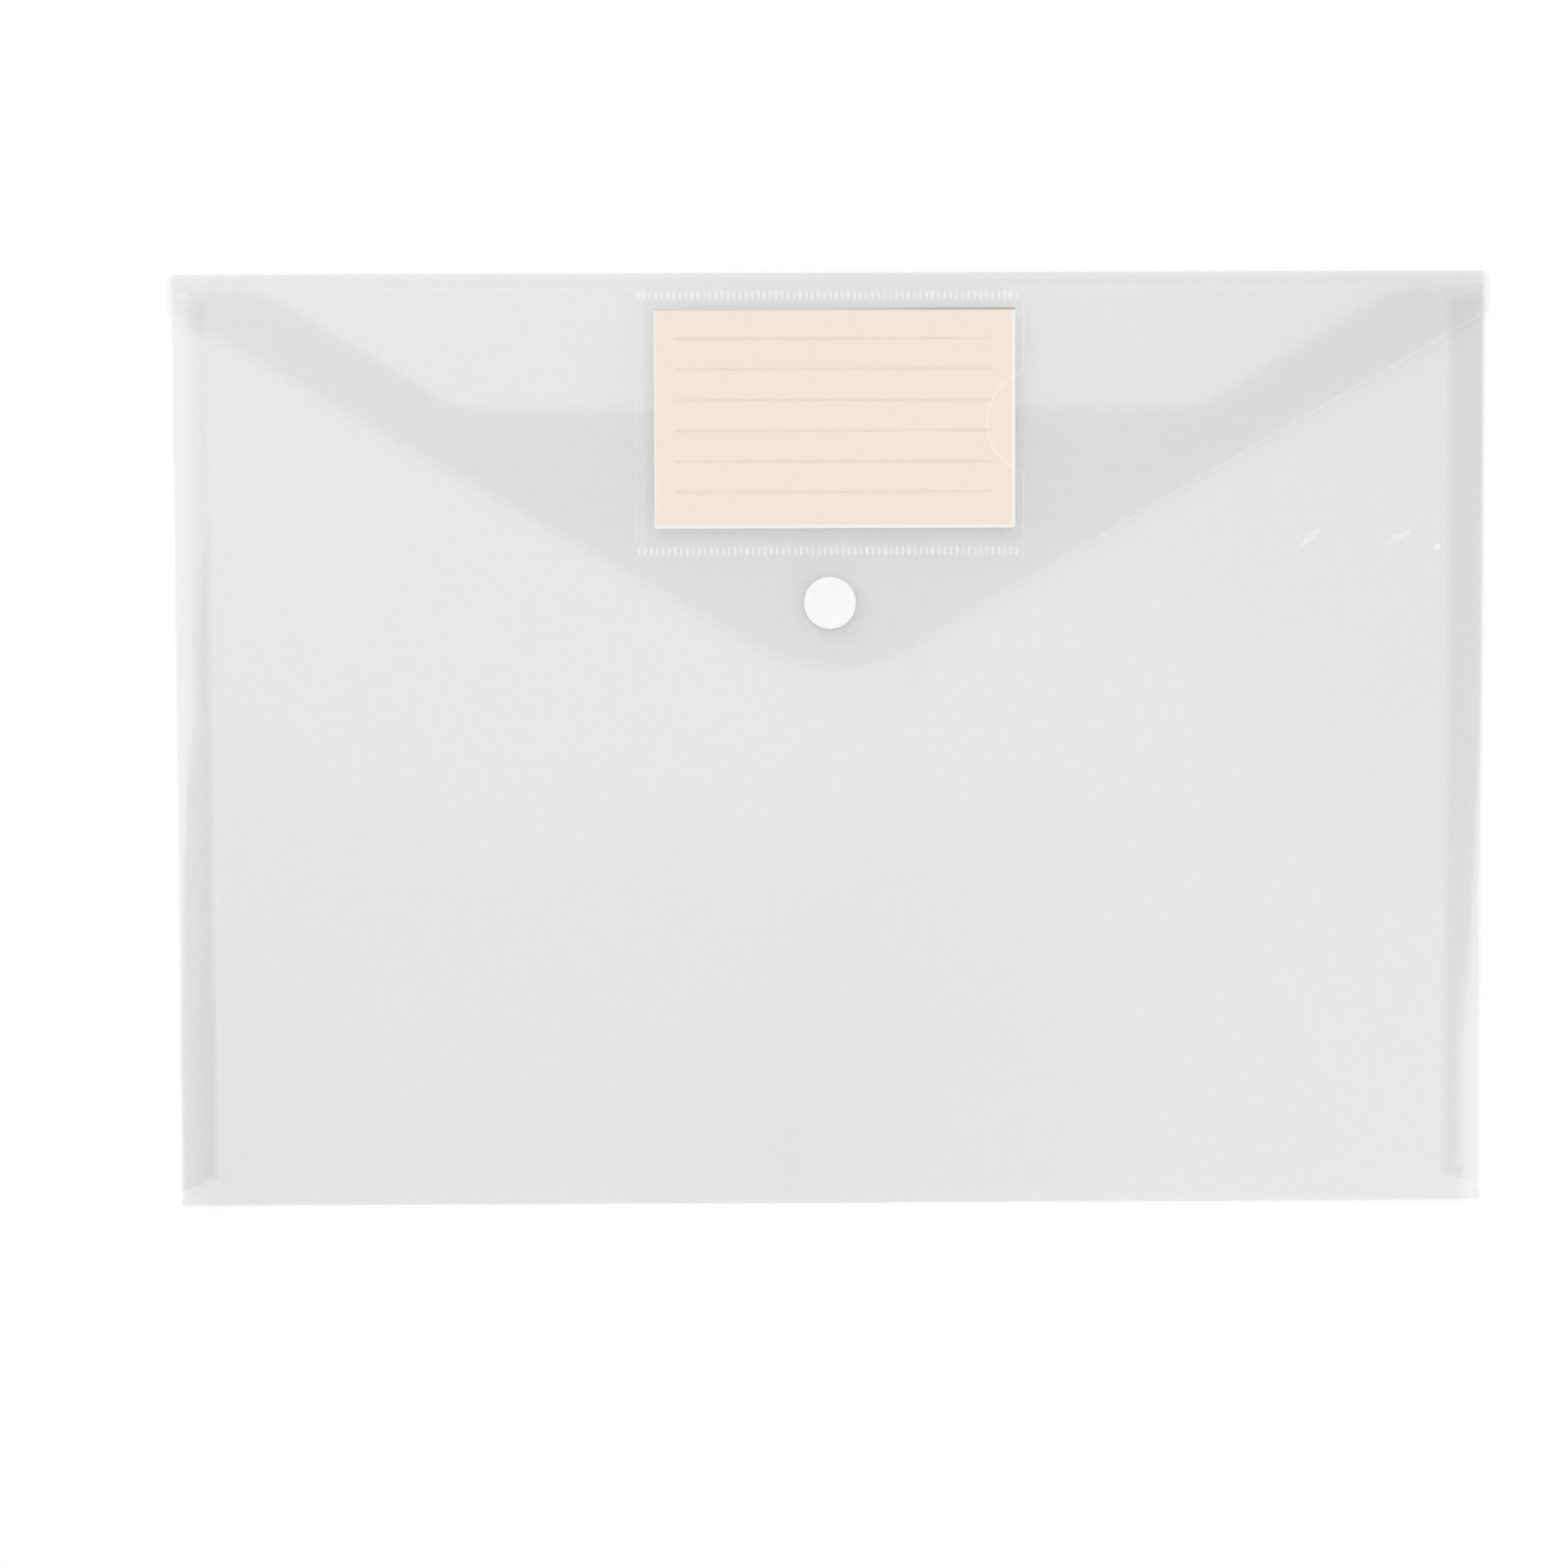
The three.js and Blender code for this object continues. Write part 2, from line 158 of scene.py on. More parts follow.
# Film and folds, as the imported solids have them
SHEET = 0.2
WELD_GAP = 0.02  # keeps two faces of film that are welded together from lying in one plane
HALF_WIDTH = 165
HALF_HEIGHT = 117.5
FRONT_TOP = 6.4
FLAP_TOP = 8.8
TOP_FOLD_RADIUS = FLAP_TOP / 2
BOTTOM_FOLD_RADIUS = FRONT_TOP / 2
SIDE_FOLD_RADIUS = (FRONT_TOP - SHEET) / 2
TOP_FOLD_START = HALF_HEIGHT - TOP_FOLD_RADIUS
BOTTOM_FOLD_START = -HALF_HEIGHT + BOTTOM_FOLD_RADIUS
SIDE_FOLD_START = HALF_WIDTH - SIDE_FOLD_RADIUS
FOLD_LINES = 14  # lines of points across a fold
TOP_CORNER_RADIUS = 2

SHOULDER_Y = 114.4
MOUTH_TOP_X = 142.3
MOUTH_FLOOR_X = 92.3
MOUTH_FLOOR_Y = 84.5
MOUTH_FILLET = 22
TAB_INNER_X = 155.9
TAB_TOP_SLANT = 2.2
TAB_BOTTOM_SLANT = 2.6
FLAP_SIDE_Y = 107.2
FLAP_TIP_Y = 18.15
FLAP_TIP_RADIUS = 40.6

POCKET_X = (-48.65, 48.65)
POCKET_Y = (46.5, 112.9)
POCKET_FILM = 0.15
POCKET_RISE = 0.44  # how far the film stands up over the card
SLOT_LEFT = -46.45
SLOT_Y = (49.3, 110.1)
LEFT_WELD_X = SLOT_LEFT - 0.3
NOTCH_X = 52.45
NOTCH_RADIUS = 13
CARD_X = (-43.75, 46.45)
CARD_Y = (53.5, 108.3)
CARD_Z = (8.9, 9.2)
SNAP_Y = 34.85
POST_HOLE = 1.45
HOLE_POINTS = 24

LINE_SPACING = 3.2  # between the points of a flat stretch of film
RIM_SPACING = 1.6
EDGE_RINGS = (0.35, 0.9, 1.7, 2.6)  # rounds of points inside an edge, where a finish may change along it
GRID_GAP = 0.5  # between the innermost round and the grid


class Field:
    """One output of a node. Arithmetic on it adds Math nodes."""

    def __init__(self, graph, socket):
        self.graph, self.socket = graph, socket

    def maths(self, operation, *values, clamp=False):
        settings = {"operation": operation, "use_clamp": clamp}
        return self.graph.node("ShaderNodeMath", settings, list(values))

    def __add__(self, other):
        return self.maths("ADD", self, other)

    def __sub__(self, other):
        return self.maths("SUBTRACT", self, other)

    def __rsub__(self, other):
        return self.maths("SUBTRACT", other, self)

    def __mul__(self, other):
        return self.maths("MULTIPLY", self, other)

    def __truediv__(self, other):
        return self.maths("DIVIDE", self, other)

    def __gt__(self, other):
        return self.maths("GREATER_THAN", self, other)

    def __lt__(self, other):
        return self.maths("LESS_THAN", self, other)

    __radd__ = __add__
    __rmul__ = __mul__

    def size(self):
        return self.maths("ABSOLUTE", self)

    def clamped(self):
        return self.maths("ADD", self, 0, clamp=True)


class Graph:
    """A node tree with one method that adds any node."""

    def __init__(self, tree):
        self.tree = tree

    def node(self, kind, settings=None, inputs=None, output=0):
        """Adds a node: its settings first, then its inputs by name or in order. Gives one of its outputs."""
        made = self.tree.nodes.new(kind)
        for name, value in (settings or {}).items():
            setattr(made, name, value)
        named = inputs if isinstance(inputs, dict) else dict(enumerate(inputs or []))
        for name, value in named.items():
            socket = self.find(made.inputs, name)
            if isinstance(value, Field):
                self.tree.links.new(value.socket, socket)
            else:
                socket.default_value = value
        return Field(self, self.find(made.outputs, output)) if made.outputs else made

    @staticmethod
    def find(sockets, name):
        live = [socket for socket in sockets if socket.enabled]
        return live[name] if isinstance(name, int) else next(s for s in live if s.name == name)

    def shown(self):
        """1 for rays from the camera, from reflections and through film, and 0 for the light of the scene."""
        kinds = ("Camera", "Glossy", "Transmission")
        camera, mirrored, passed = (
            self.node("ShaderNodeLightPath", output=f"Is {kind} Ray") for kind in kinds
        )
        return (camera + mirrored + passed).clamped()


class Finish(Graph):
    """A material built on one Principled shader."""

    def __init__(self, name):
        self.material = bpy.data.materials.new(name)
        self.material.use_nodes = True
        super().__init__(self.material.node_tree)
        self.tree.nodes.clear()

    def attribute(self, name, output="Fac"):
        return self.node("ShaderNodeAttribute", {"attribute_name": name}, output=output)

    def place(self):
        return self.node("ShaderNodeTexCoord", output="Object")

    def axis(self, vector, letter):
        return self.node("ShaderNodeSeparateXYZ", inputs=[vector], output=letter)

    def noise(self, vector, size, detail=2, roughness=0.5):
        """Noise with patches of about one size, in millimetres. Gives a value round 0.5."""
        inputs = {"Vector": vector, "Scale": 1 / (size * MM), "Detail": detail, "Roughness": roughness}
        return self.node("ShaderNodeTexNoise", None, inputs)

    def stretched(self, vector, scale, turn=0):
        inputs = {"Vector": vector, "Rotation": (0, 0, turn), "Scale": scale}
        return self.node("ShaderNodeMapping", None, inputs)

    def smooth(self, value, low, high):
        """0 below low, 1 above high, and smooth between."""
        settings = {"interpolation_type": "SMOOTHSTEP"}
        inputs = {"Value": value, "From Min": low, "From Max": high}
        return self.node("ShaderNodeMapRange", settings, inputs)

    def mixed(self, factor, first, second):
        settings = {"data_type": "RGBA"}
        colours = [c if isinstance(c, Field) else (*c, 1) for c in (first, second)]
        return self.node("ShaderNodeMix", settings, {"Factor": factor, "A": colours[0], "B": colours[1]})

    def bump(self, height, distance, under=None):
        inputs = {"Strength": 1.0, "Distance": distance * MM, "Height": height}
        if under:
            inputs["Normal"] = under
        return self.node("ShaderNodeBump", None, inputs)

    def surface(self, **inputs):
        named = {name.replace("_", " "): value for name, value in inputs.items()}
        shader = self.node("ShaderNodeBsdfPrincipled", None, named)
        self.node("ShaderNodeOutputMaterial", None, {"Surface": shader})
        return self.material


def srgb(*levels):
    """A colour as read off a screen, 0 to 255, as the linear colour that a shader takes."""
    parts = [level / 255 for level in levels]
    return tuple(p / 12.92 if p <= 0.04045 else ((p + 0.055) / 1.055) ** 2.4 for p in parts)


WHITE = (1, 1, 1)
BLACK = (0, 0, 0)
FILM_COVER = 0.122  # share of the light that one face of the frosted film stops
FILM_WHITE = srgb(228, 228, 228)
# The cut edges' painted highlight: more cover, a whiter colour and a glow
FILM_EDGE_COVER = 0.1
CLEAR_WHITE = srgb(250, 250, 250)
CLEAR_COVER = 0.032
# The pocket's cut edge: more cover and a whiter colour for its painted highlight
CLEAR_EDGE_COVER = 0.13
CLEAR_WELD_COVER = 0.03
FILM_IOR = 1.49
FILM_GLOW, CLEAR_GLOW, RIDGE_GLOW = 0.13, 0.3, 0.28  # painted glow: how strongly their whitened places are made to glow, a painted highlight


def frosted_film():
    """Fine frosted film, slightly cloudy, mottled and grained. Its cut edges are drawn whiter, more opaque and glowing
    where the mesh says so: a painted highlight.
    """
    film = Finish("frosted_film")
    flat = film.attribute("flat", "Vector")
    milkiness_and_painted_light = film.attribute("milkiness_and_painted_light")
    edge = film.attribute("edge")
    clouds = film.noise(flat, 80, detail=4, roughness=0.6)
    grain = film.noise(flat, 0.4, detail=0)
    mottle = film.noise(flat, 2.2, detail=1)
    cover = FILM_COVER * milkiness_and_painted_light * (1 + 0.14 * (clouds - 0.5) + 0.12 * (mottle - 0.5))
    return film.surface(
        # Whiter colour, more cover and glow along the cut edges: a painted highlight
        Base_Color=film.mixed(edge, FILM_WHITE, WHITE),
        Alpha=(cover + FILM_EDGE_COVER * edge).clamped(),
        Roughness=0.38 + 0.14 * clouds,
        IOR=FILM_IOR,
        Normal=film.bump(grain, 0.004),
        Emission_Color=film.mixed(edge, BLACK, WHITE),
        Emission_Strength=FILM_GLOW,
    )


def clear_film():
    """The pocket's smooth film, with faint streaks. Its cut edge is drawn whiter and glowing, a painted highlight, and
    its left weld is whiter with a painted glow.
    """
    film = Finish("clear_film")
    place = film.place()
    edge = film.attribute("edge")
    across = film.axis(place, "X") / MM
    streaks = film.noise(film.stretched(place, (7, 1, 1)), 20, detail=2)
    ripples = film.noise(place, 14, detail=2)
    weld = 1 - film.smooth((across - LEFT_WELD_X).size(), 0.2, 0.9)
    cover = CLEAR_COVER + 0.024 * streaks
    # Painted highlight: the cut edge and the left weld glow
    bright = (edge + 0.4 * weld).clamped()
    return film.surface(
        Base_Color=film.mixed(edge, CLEAR_WHITE, WHITE),
        Alpha=(cover + CLEAR_EDGE_COVER * edge + CLEAR_WELD_COVER * weld).clamped(),
        Emission_Color=film.mixed(bright, BLACK, WHITE),
        Emission_Strength=CLEAR_GLOW,
        Roughness=0.12 + 0.1 * ripples,
        IOR=FILM_IOR,
        Normal=film.bump(ripples, 0.25),
    )


def whitened_glowing_film():
    """Film that is whitened where it was pressed in a weld or scratched, and glows a little there, a painted
    highlight.
    """
    ridge = Finish("whitened_glowing_film")
    strength = ridge.attribute("strength")
    speckle = ridge.noise(ridge.place(), 0.5, detail=2)
    return ridge.surface(
        Base_Color=ridge.mixed(speckle, (0.9, 0.9, 0.9), WHITE),
        Alpha=(strength * (0.16 + 0.12 * speckle)).clamped(),
        Emission_Color=ridge.mixed(speckle, (0.8, 0.8, 0.8), WHITE),
        Emission_Strength=RIDGE_GLOW,
        Roughness=0.3 + 0.15 * speckle,
        Normal=ridge.bump(speckle, 0.02),
    )


LINE_PITCH = 7.64
FIRST_LINE_Y = 100.75
LINES_X = (-38.4, 40.2)
LINE_COUNT = 6
LINE_FADE = 0.3  # at a line's ends
MARGIN_X = (CARD_X[0] - 0.4, CARD_X[1])  # the pale margin is narrower at the left and at the top
MARGIN_Y = (CARD_Y[0], CARD_Y[1] + 0.5)


def label_paper():
    """Uncoated peach card with a pale margin, faint ruled lines and a thin dark line along its top edge."""
    paper = Finish("label_paper")
    place = paper.place()
    across, up, level = (paper.axis(place, letter) / MM for letter in "XYZ")
    fibre = paper.noise(paper.stretched(place, (1, 3, 1)), 0.8, detail=4, roughness=0.7)
    blotch = paper.noise(place, 16, detail=3)
    peach = paper.mixed(blotch, srgb(255, 240, 230), srgb(255, 236, 224))
    from_sides, from_ends = (
        (high - low) / 2 - (along - (low + high) / 2).size()
        for along, (low, high) in ((across, MARGIN_X), (up, MARGIN_Y))
    )
    from_edge = paper.node("ShaderNodeMath", {"operation": "MINIMUM"}, [from_sides, from_ends])
    margin = 1 - paper.smooth(from_edge, 0.55, 1.05)
    # The thin dark line along the top edge is stronger towards the right
    from_top = CARD_Y[1] - up
    top_line = (1 - paper.smooth(from_top, 0.3, 0.75)) * (0.3 + 0.35 * paper.smooth(across, -10, 40))
    from_first = (FIRST_LINE_Y - up) / LINE_PITCH
    nearest = paper.node("ShaderNodeMath", {"operation": "ROUND"}, [from_first])
    off_line = (from_first - nearest).size() * LINE_PITCH
    line = (1 - paper.smooth(off_line, 0.1, 0.55)) * (nearest > -0.5) * (nearest < LINE_COUNT - 0.5)
    line = line * paper.smooth(across, LINES_X[0] - LINE_FADE, LINES_X[0])
    line = line * (1 - paper.smooth(across, LINES_X[1], LINES_X[1] + LINE_FADE)) * (level > CARD_Z[1] - 0.05)
    wear = paper.noise(paper.stretched(place, (0.2, 1, 1)), 3, detail=3)
    printed = paper.mixed(line * (0.13 + 0.22 * wear), peach, srgb(206, 190, 184))
    bordered = paper.mixed(margin * 0.95, printed, srgb(255, 255, 250))
    return paper.surface(
        Base_Color=paper.mixed(top_line, bordered, srgb(96, 98, 70)),
        Roughness=0.72 + 0.2 * fibre,
        Normal=paper.bump(fibre, 0.03),
    )


def snap_plastic():
    """Smooth white moulded plastic with faint flow marks and fine scuffs."""
    plastic = Finish("snap_plastic")
    place = plastic.place()
    flow = plastic.noise(place, 5, detail=3)
    satin = plastic.noise(place, 0.25, detail=2)
    scuffs = plastic.noise(plastic.stretched(place, (1, 12, 1), 0.6), 2.5, detail=4, roughness=0.7)
    scuffed = plastic.smooth(scuffs, 0.56, 0.7)
    return plastic.surface(
        Base_Color=plastic.mixed(flow, srgb(247, 247, 247), srgb(252, 252, 252)),
        Roughness=0.3 + 0.1 * satin + 0.15 * scuffed,
        IOR=1.5,
        Normal=plastic.bump(satin, 0.006, under=plastic.bump(scuffs, 0.01)),
    )


TABLE_GREYS = (0.53, 0.55)
TABLE_GLOW = 0.54


def pale_floor():
    """A white studio table that keeps the wallet's shadow and shows white to the camera."""
    floor = Finish("studio_table")
    cloud = floor.noise(floor.place(), 300, detail=2)
    greys = floor.mixed(cloud, *((grey,) * 3 for grey in TABLE_GREYS))
    pale = floor.node("ShaderNodeBsdfDiffuse", None, {"Color": greys})
    strength = floor.shown() * TABLE_GLOW
    glow = floor.node("ShaderNodeEmission", None, {"Color": (*WHITE, 1), "Strength": strength})
    both = floor.node("ShaderNodeAddShader", None, [pale, glow])
    floor.node("ShaderNodeOutputMaterial", None, {"Surface": both})
    return floor.material


def rounded(corners, spacing=RIM_SPACING):
    """A closed outline from corners [x, y, radius], anticlockwise, with points about a spacing apart."""
    points = []
    for i, (x, y, radius) in enumerate(corners):
        corner = Vector((x, y))
        before = (Vector(corners[i - 1][:2]) - corner).normalized()
        after = (Vector(corners[(i + 1) % len(corners)][:2]) - corner).normalized()
        half = before.angle(after) / 2
        if radius == 0:
            points.append(corner)
            continue
        middle = corner + (before + after).normalized() * (radius / math.sin(half))
        start = corner + before * (radius / math.tan(half)) - middle
        sweep = (math.pi - 2 * half) * (-1 if before.cross(after) > 0 else 1)
        steps = max(5, round(abs(sweep) * radius / spacing))
        points += [middle + turn(start, sweep * k / steps) for k in range(steps + 1)]
    return subdivided(points, spacing)


def box_corners(across, up, radius):
    """The corners of a rectangle, anticlockwise, all with one radius."""
    (left, right), (low, high) = across, up
    return [(left, low, radius), (right, low, radius), (right, high, radius), (left, high, radius)]


def turn(vector, angle):
    return Matrix.Rotation(angle, 2) @ vector


def subdivided(points, spacing):
    """A closed outline with points added along its long straight edges."""
    full = []
    for point, following in zip(points, points[1:] + points[:1]):
        steps = max(1, math.ceil((following - point).length / spacing))
        full += [point.lerp(following, k / steps) for k in range(steps)]
    return full


def circle(x, y, radius, steps):
    """Points round a circle, anticlockwise."""
    return [Vector((x, y)) + turn(Vector((radius, 0)), 2 * math.pi * k / steps) for k in range(steps)]


def inside(points, loops):
    """For each point, True if it lies inside an odd number of the loops."""
    x, y = points[:, 0][:, None], points[:, 1][:, None]
    odd = np.zeros(len(points), int)
    for loop in loops:
        here = np.array(loop)
        there = np.roll(here, -1, axis=0)
        spans = (here[:, 1] > y) != (there[:, 1] > y)
        rise = there[:, 1] - here[:, 1]
        rise[rise == 0] = 1
        crossing = here[:, 0] + (y - here[:, 1]) / rise * (there[:, 0] - here[:, 0])
        odd += (spans & (x < crossing)).sum(1)
    return odd % 2 == 1


def distance_to(points, loops):
    """For each point, how far the nearest edge of the loops is."""
    nearest = np.full(len(points), np.inf)
    for loop in loops:
        here = np.array(loop)
        run = np.roll(here, -1, axis=0) - here
        length2 = np.maximum((run ** 2).sum(1), 1e-12)
        for start, along, square in zip(here, run, length2):
            share = np.clip((points - start) @ along / square, 0, 1)
            nearest = np.minimum(nearest, np.hypot(*(points - start - share[:, None] * along).T))
    return nearest


def inset(loop, distance):
    """Points inside a loop at a distance from its edge, one beside the middle of each edge."""
    shifted = []
    for here, there in zip(loop, loop[1:] + loop[:1]):
        along = (there - here).normalized()
        shifted.append((here + there) / 2 + Vector((-along.y, along.x)) * distance)
    return shifted


def cut_out(loops, across, up):
    """Points and triangles over a cut-out, and how far each point is from the edge. Rounds of points lie
    inside the edge, and a grid of across and up elsewhere. The first loop runs anticlockwise, and its holes
    clockwise."""
    grid = np.array([(x, y) for x in across for y in up])
    grid = grid[inside(grid, loops) & (distance_to(grid, loops) > EDGE_RINGS[-1] + GRID_GAP)]
    rings = []
    for distance in EDGE_RINGS:
        ring = np.array([point for loop in loops for point in inset(loop, distance)])
        rings.append(ring[inside(ring, loops) & (distance_to(ring, loops) > distance * 0.97)])
    rim = [point for loop in loops for point in loop]
    edges, first = [], 0
    for loop in loops:
        edges += [(first + k, first + (k + 1) % len(loop)) for k in range(len(loop))]
        first += len(loop)
    points = rim + [Vector(p) for p in np.concatenate([*rings, grid])]
    found, _, faces, *_ = geometry.delaunay_2d_cdt(points, edges, [], 0, 1e-6)
    flat = np.array([tuple(p) for p in found])
    middles = np.array([flat[face].mean(0) for face in map(list, faces)])
    kept = [face for face, is_in in zip(faces, inside(middles, loops)) if is_in]
    return flat, kept, distance_to(flat, loops)


FILM_SHARP = math.radians(50)  # edges that turn by more than this stay sharp


def film_solid(name, flat, faces, place, values, material):
    """A closed thin solid of film. place(x, y, depth) puts a flat point on the outer face, depth 0, or on the
    inner face, depth 1. The mesh carries the values, and each point's place laid flat, for the finish."""
    count = len(flat)
    vertices = [place(x, y, depth) for depth in (0, 1) for x, y in flat]
    outer = [tuple(face) for face in faces]
    inner = [tuple(count + v for v in reversed(face)) for face in outer]
    sides = {(a, b) for face in outer for a, b in zip(face, face[1:] + face[:1])}
    rim = [(b, a, a + count, b + count) for a, b in sorted(sides) if (b, a) not in sides]
    mesh = mesh_of(name, vertices, outer + inner + rim)
    mesh.shade_smooth()
    mesh.set_sharp_from_angle(angle=FILM_SHARP)
    coordinates = mesh.attributes.new("flat", "FLOAT_VECTOR", "POINT")
    depth = [(x * MM, y * MM, SHEET * layer * MM) for layer in (0, 1) for x, y in flat]
    coordinates.data.foreach_set("vector", np.array(depth).ravel())
    for key, value in values.items():
        mesh.attributes.new(key, "FLOAT", "POINT").data.foreach_set("value", np.tile(value, 2))
    return piece(name, mesh, material)


def mesh_of(name, vertices, faces):
    """A mesh from points in millimetres."""
    mesh = bpy.data.meshes.new(name)
    mesh.from_pydata([Vector(v) * MM for v in vertices], [], faces)
    mesh.update()
    return mesh


def piece(name, mesh, material):
    """An object at the origin with this mesh, in one finish."""
    mesh.materials.clear()
    mesh.materials.append(material)
    made = bpy.data.objects.new(name, mesh)
    bpy.context.scene.collection.objects.link(made)
    return made


def fold_lines(start, length, lines=FOLD_LINES):
    """Where the lines of points across a fold lie, its two ends included."""
    return [start + length * k / lines for k in range(lines + 1)]


def span(low, high, spacing=LINE_SPACING):
    """Where evenly spaced lines of points lie between two ends, without the ends."""
    steps = max(1, round((high - low) / spacing))
    return [low + (high - low) * k / steps for k in range(1, steps)]


def smoothstep(value, low, high):
    """0 up to low, 1 from high on, and smooth between."""
    share = np.clip((value - low) / (high - low), 0, 1)
    return share * share * (3 - 2 * share)


SIDE_BEND = math.pi * (SIDE_FOLD_RADIUS - SHEET / 2)
BOTTOM_BEND = math.pi * (BOTTOM_FOLD_RADIUS - SHEET / 2)
TOP_BEND = math.pi * (TOP_FOLD_RADIUS - SHEET / 2)
TAB_REACH = SIDE_BEND + SIDE_FOLD_START - TAB_INNER_X
PANEL_HEIGHT = TOP_FOLD_START - BOTTOM_FOLD_START
NOTCH_SLIT = 0.15  # the slit between the side fold's end and the bottom fold's
FOLD_TAPER = 0.6  # where the sheet is cut in beside a fold, so that it doesn't stand out
TAPER_START = 0.7  # share of the bottom fold from which its ends are cut in
TAB_GAP = 0.1  # between the tabs and the top fold
RISE = 0.35  # of the front panel's waves
CALM_REACH = 40  # from a fold to where the front panel has its full waves
SNAP_CALM = (12, 30)  # no waves this near to the snap, and full ones this much further out


def wave(x, y):
    """Slight unevenness of the film, from -1 to 1."""
    return (
        math.sin(x / 41 + 1.3 * math.sin(y / 63))
        + 0.7 * math.sin(y / 29 + 0.8 * math.sin(x / 37 + 1))
        + 0.4 * math.sin((x + y) / 17 + 2)
    ) / 2.1


def front_rise(x, y):
    """How much the front panel stands up or sinks, none at its folds and at the snap."""
    from_side = min(1, (SIDE_FOLD_START - abs(x)) / CALM_REACH)
    from_bottom = min(1, (y - BOTTOM_FOLD_START) / CALM_REACH)
    from_snap = min(1, max(0, math.hypot(x, y - SNAP_Y) - SNAP_CALM[0]) / SNAP_CALM[1])
    calm = max(0, from_side) * max(0, from_bottom) * from_snap
    return RISE * calm * wave(x, y)


def pouch_place(u, v, depth):
    """Folds the flat sheet into the pouch. u runs across it, and v from the bottom fold, up the front panel
    above 0 and over to the rear panel below 0."""
    side = 1 if u > 0 else -1
    if v < 0:
        angle = min(-v / (BOTTOM_FOLD_RADIUS - SHEET / 2), math.pi)
        radius = BOTTOM_FOLD_RADIUS - SHEET * depth
        rest = max(0, -v - BOTTOM_BEND)
        y = BOTTOM_FOLD_START - radius * math.sin(angle) + rest
        return u, y, BOTTOM_FOLD_RADIUS + radius * math.cos(angle)
    y = BOTTOM_FOLD_START + v
    past = abs(u) - SIDE_FOLD_START
    if past <= 0:
        return u, y, FRONT_TOP - SHEET * depth + front_rise(u, y)
    angle = min(past / (SIDE_FOLD_RADIUS - SHEET / 2), math.pi)
    radius = SIDE_FOLD_RADIUS - SHEET * depth
    x = SIDE_FOLD_START + radius * math.sin(angle) - max(0, past - SIDE_BEND)
    z = SHEET + SIDE_FOLD_RADIUS + radius * math.cos(angle)
    return side * x, y, z + WELD_GAP * (1 - depth) * smoothstep(angle, 2.6, math.pi)


# How wide, at each height, the side folds' film is painted lighter, a painted highlight, from the wallet's side
# inwards
LEFT_LIGHT_BAND = (
    (-117, 0.4), (-66, 0.7), (-40, 1.2), (-15, 2.2), (0, 3.1), (12, 4.4), (24, 5.5), (42, 6.8), (60, 9.5),
    (77, 13), (100, 13), (103.5, 5), (117, 5),
)
RIGHT_LIGHT_BAND = ((-117, 4.2), (-77, 3.6), (-33, 1.6), (10, 0.3), (117, 0.2))
WIDEST_LIGHT_BAND = 5.2  # on the front and rear panels. The tabs below may be painted lighter all over


def side_band_light(x, y, widest):
    """1 where a side fold's film is painted lighter, as a highlight, 0 elsewhere."""
    from_side = HALF_WIDTH - np.abs(x)
    width = np.where(x < 0, np.interp(y, *zip(*LEFT_LIGHT_BAND)), np.interp(y, *zip(*RIGHT_LIGHT_BAND)))
    width = np.minimum(width, widest)
    outside = np.clip((width - from_side) / (0.3 * width) + 0.5, 0, 1)  # fades over 0.3 of the width
    return outside * (from_side < HALF_WIDTH - TAB_INNER_X + 0.5)


# Each crease's place across, width and strength of its painted shade
CREASE_SHADES = ((-10, 2.5, 1), (21, 2, 0.8))
MARK = (22.9, 18.2)  # the faint mark's middle


def drift(x, y):
    """How much milkier the film is drawn than on average: little by little from side to side, as painted
    shade in the lower middle and along two creases of the bottom edge, and in a faint mark below the flap's tip."""
    across, up = x / HALF_WIDTH, y / HALF_HEIGHT
    low = smoothstep(-up, -0.1, 0.8)
    crease_shade = sum(strength * np.exp(-(((x - at) / width) ** 2)) for at, width, strength in CREASE_SHADES)
    mark = smoothstep(4 - np.abs(x - MARK[0]), 0, 2) * smoothstep(6 - np.abs(y - MARK[1]), 0, 2)
    # Painted shade: darker in the lower middle and along the creases
    middle = 0.11 * low * np.exp(-((across / 0.35) ** 2))
    return 0.13 * across * up + middle + 0.05 * crease_shade * smoothstep(-y, 88, 104) + 0.08 * mark


def bend_share(turned_by, whole):
    """0 where a fold starts and ends, and 1 at its outermost line."""
    return np.sin(np.clip(turned_by / whole, 0, 1) * math.pi)


def soft_edge(distance, width, least):
    """Milkiness near an edge: least at the edge, rising smoothly to the full amount a width in from it."""
    return least + (1 - least) * smoothstep(distance, 0, width)


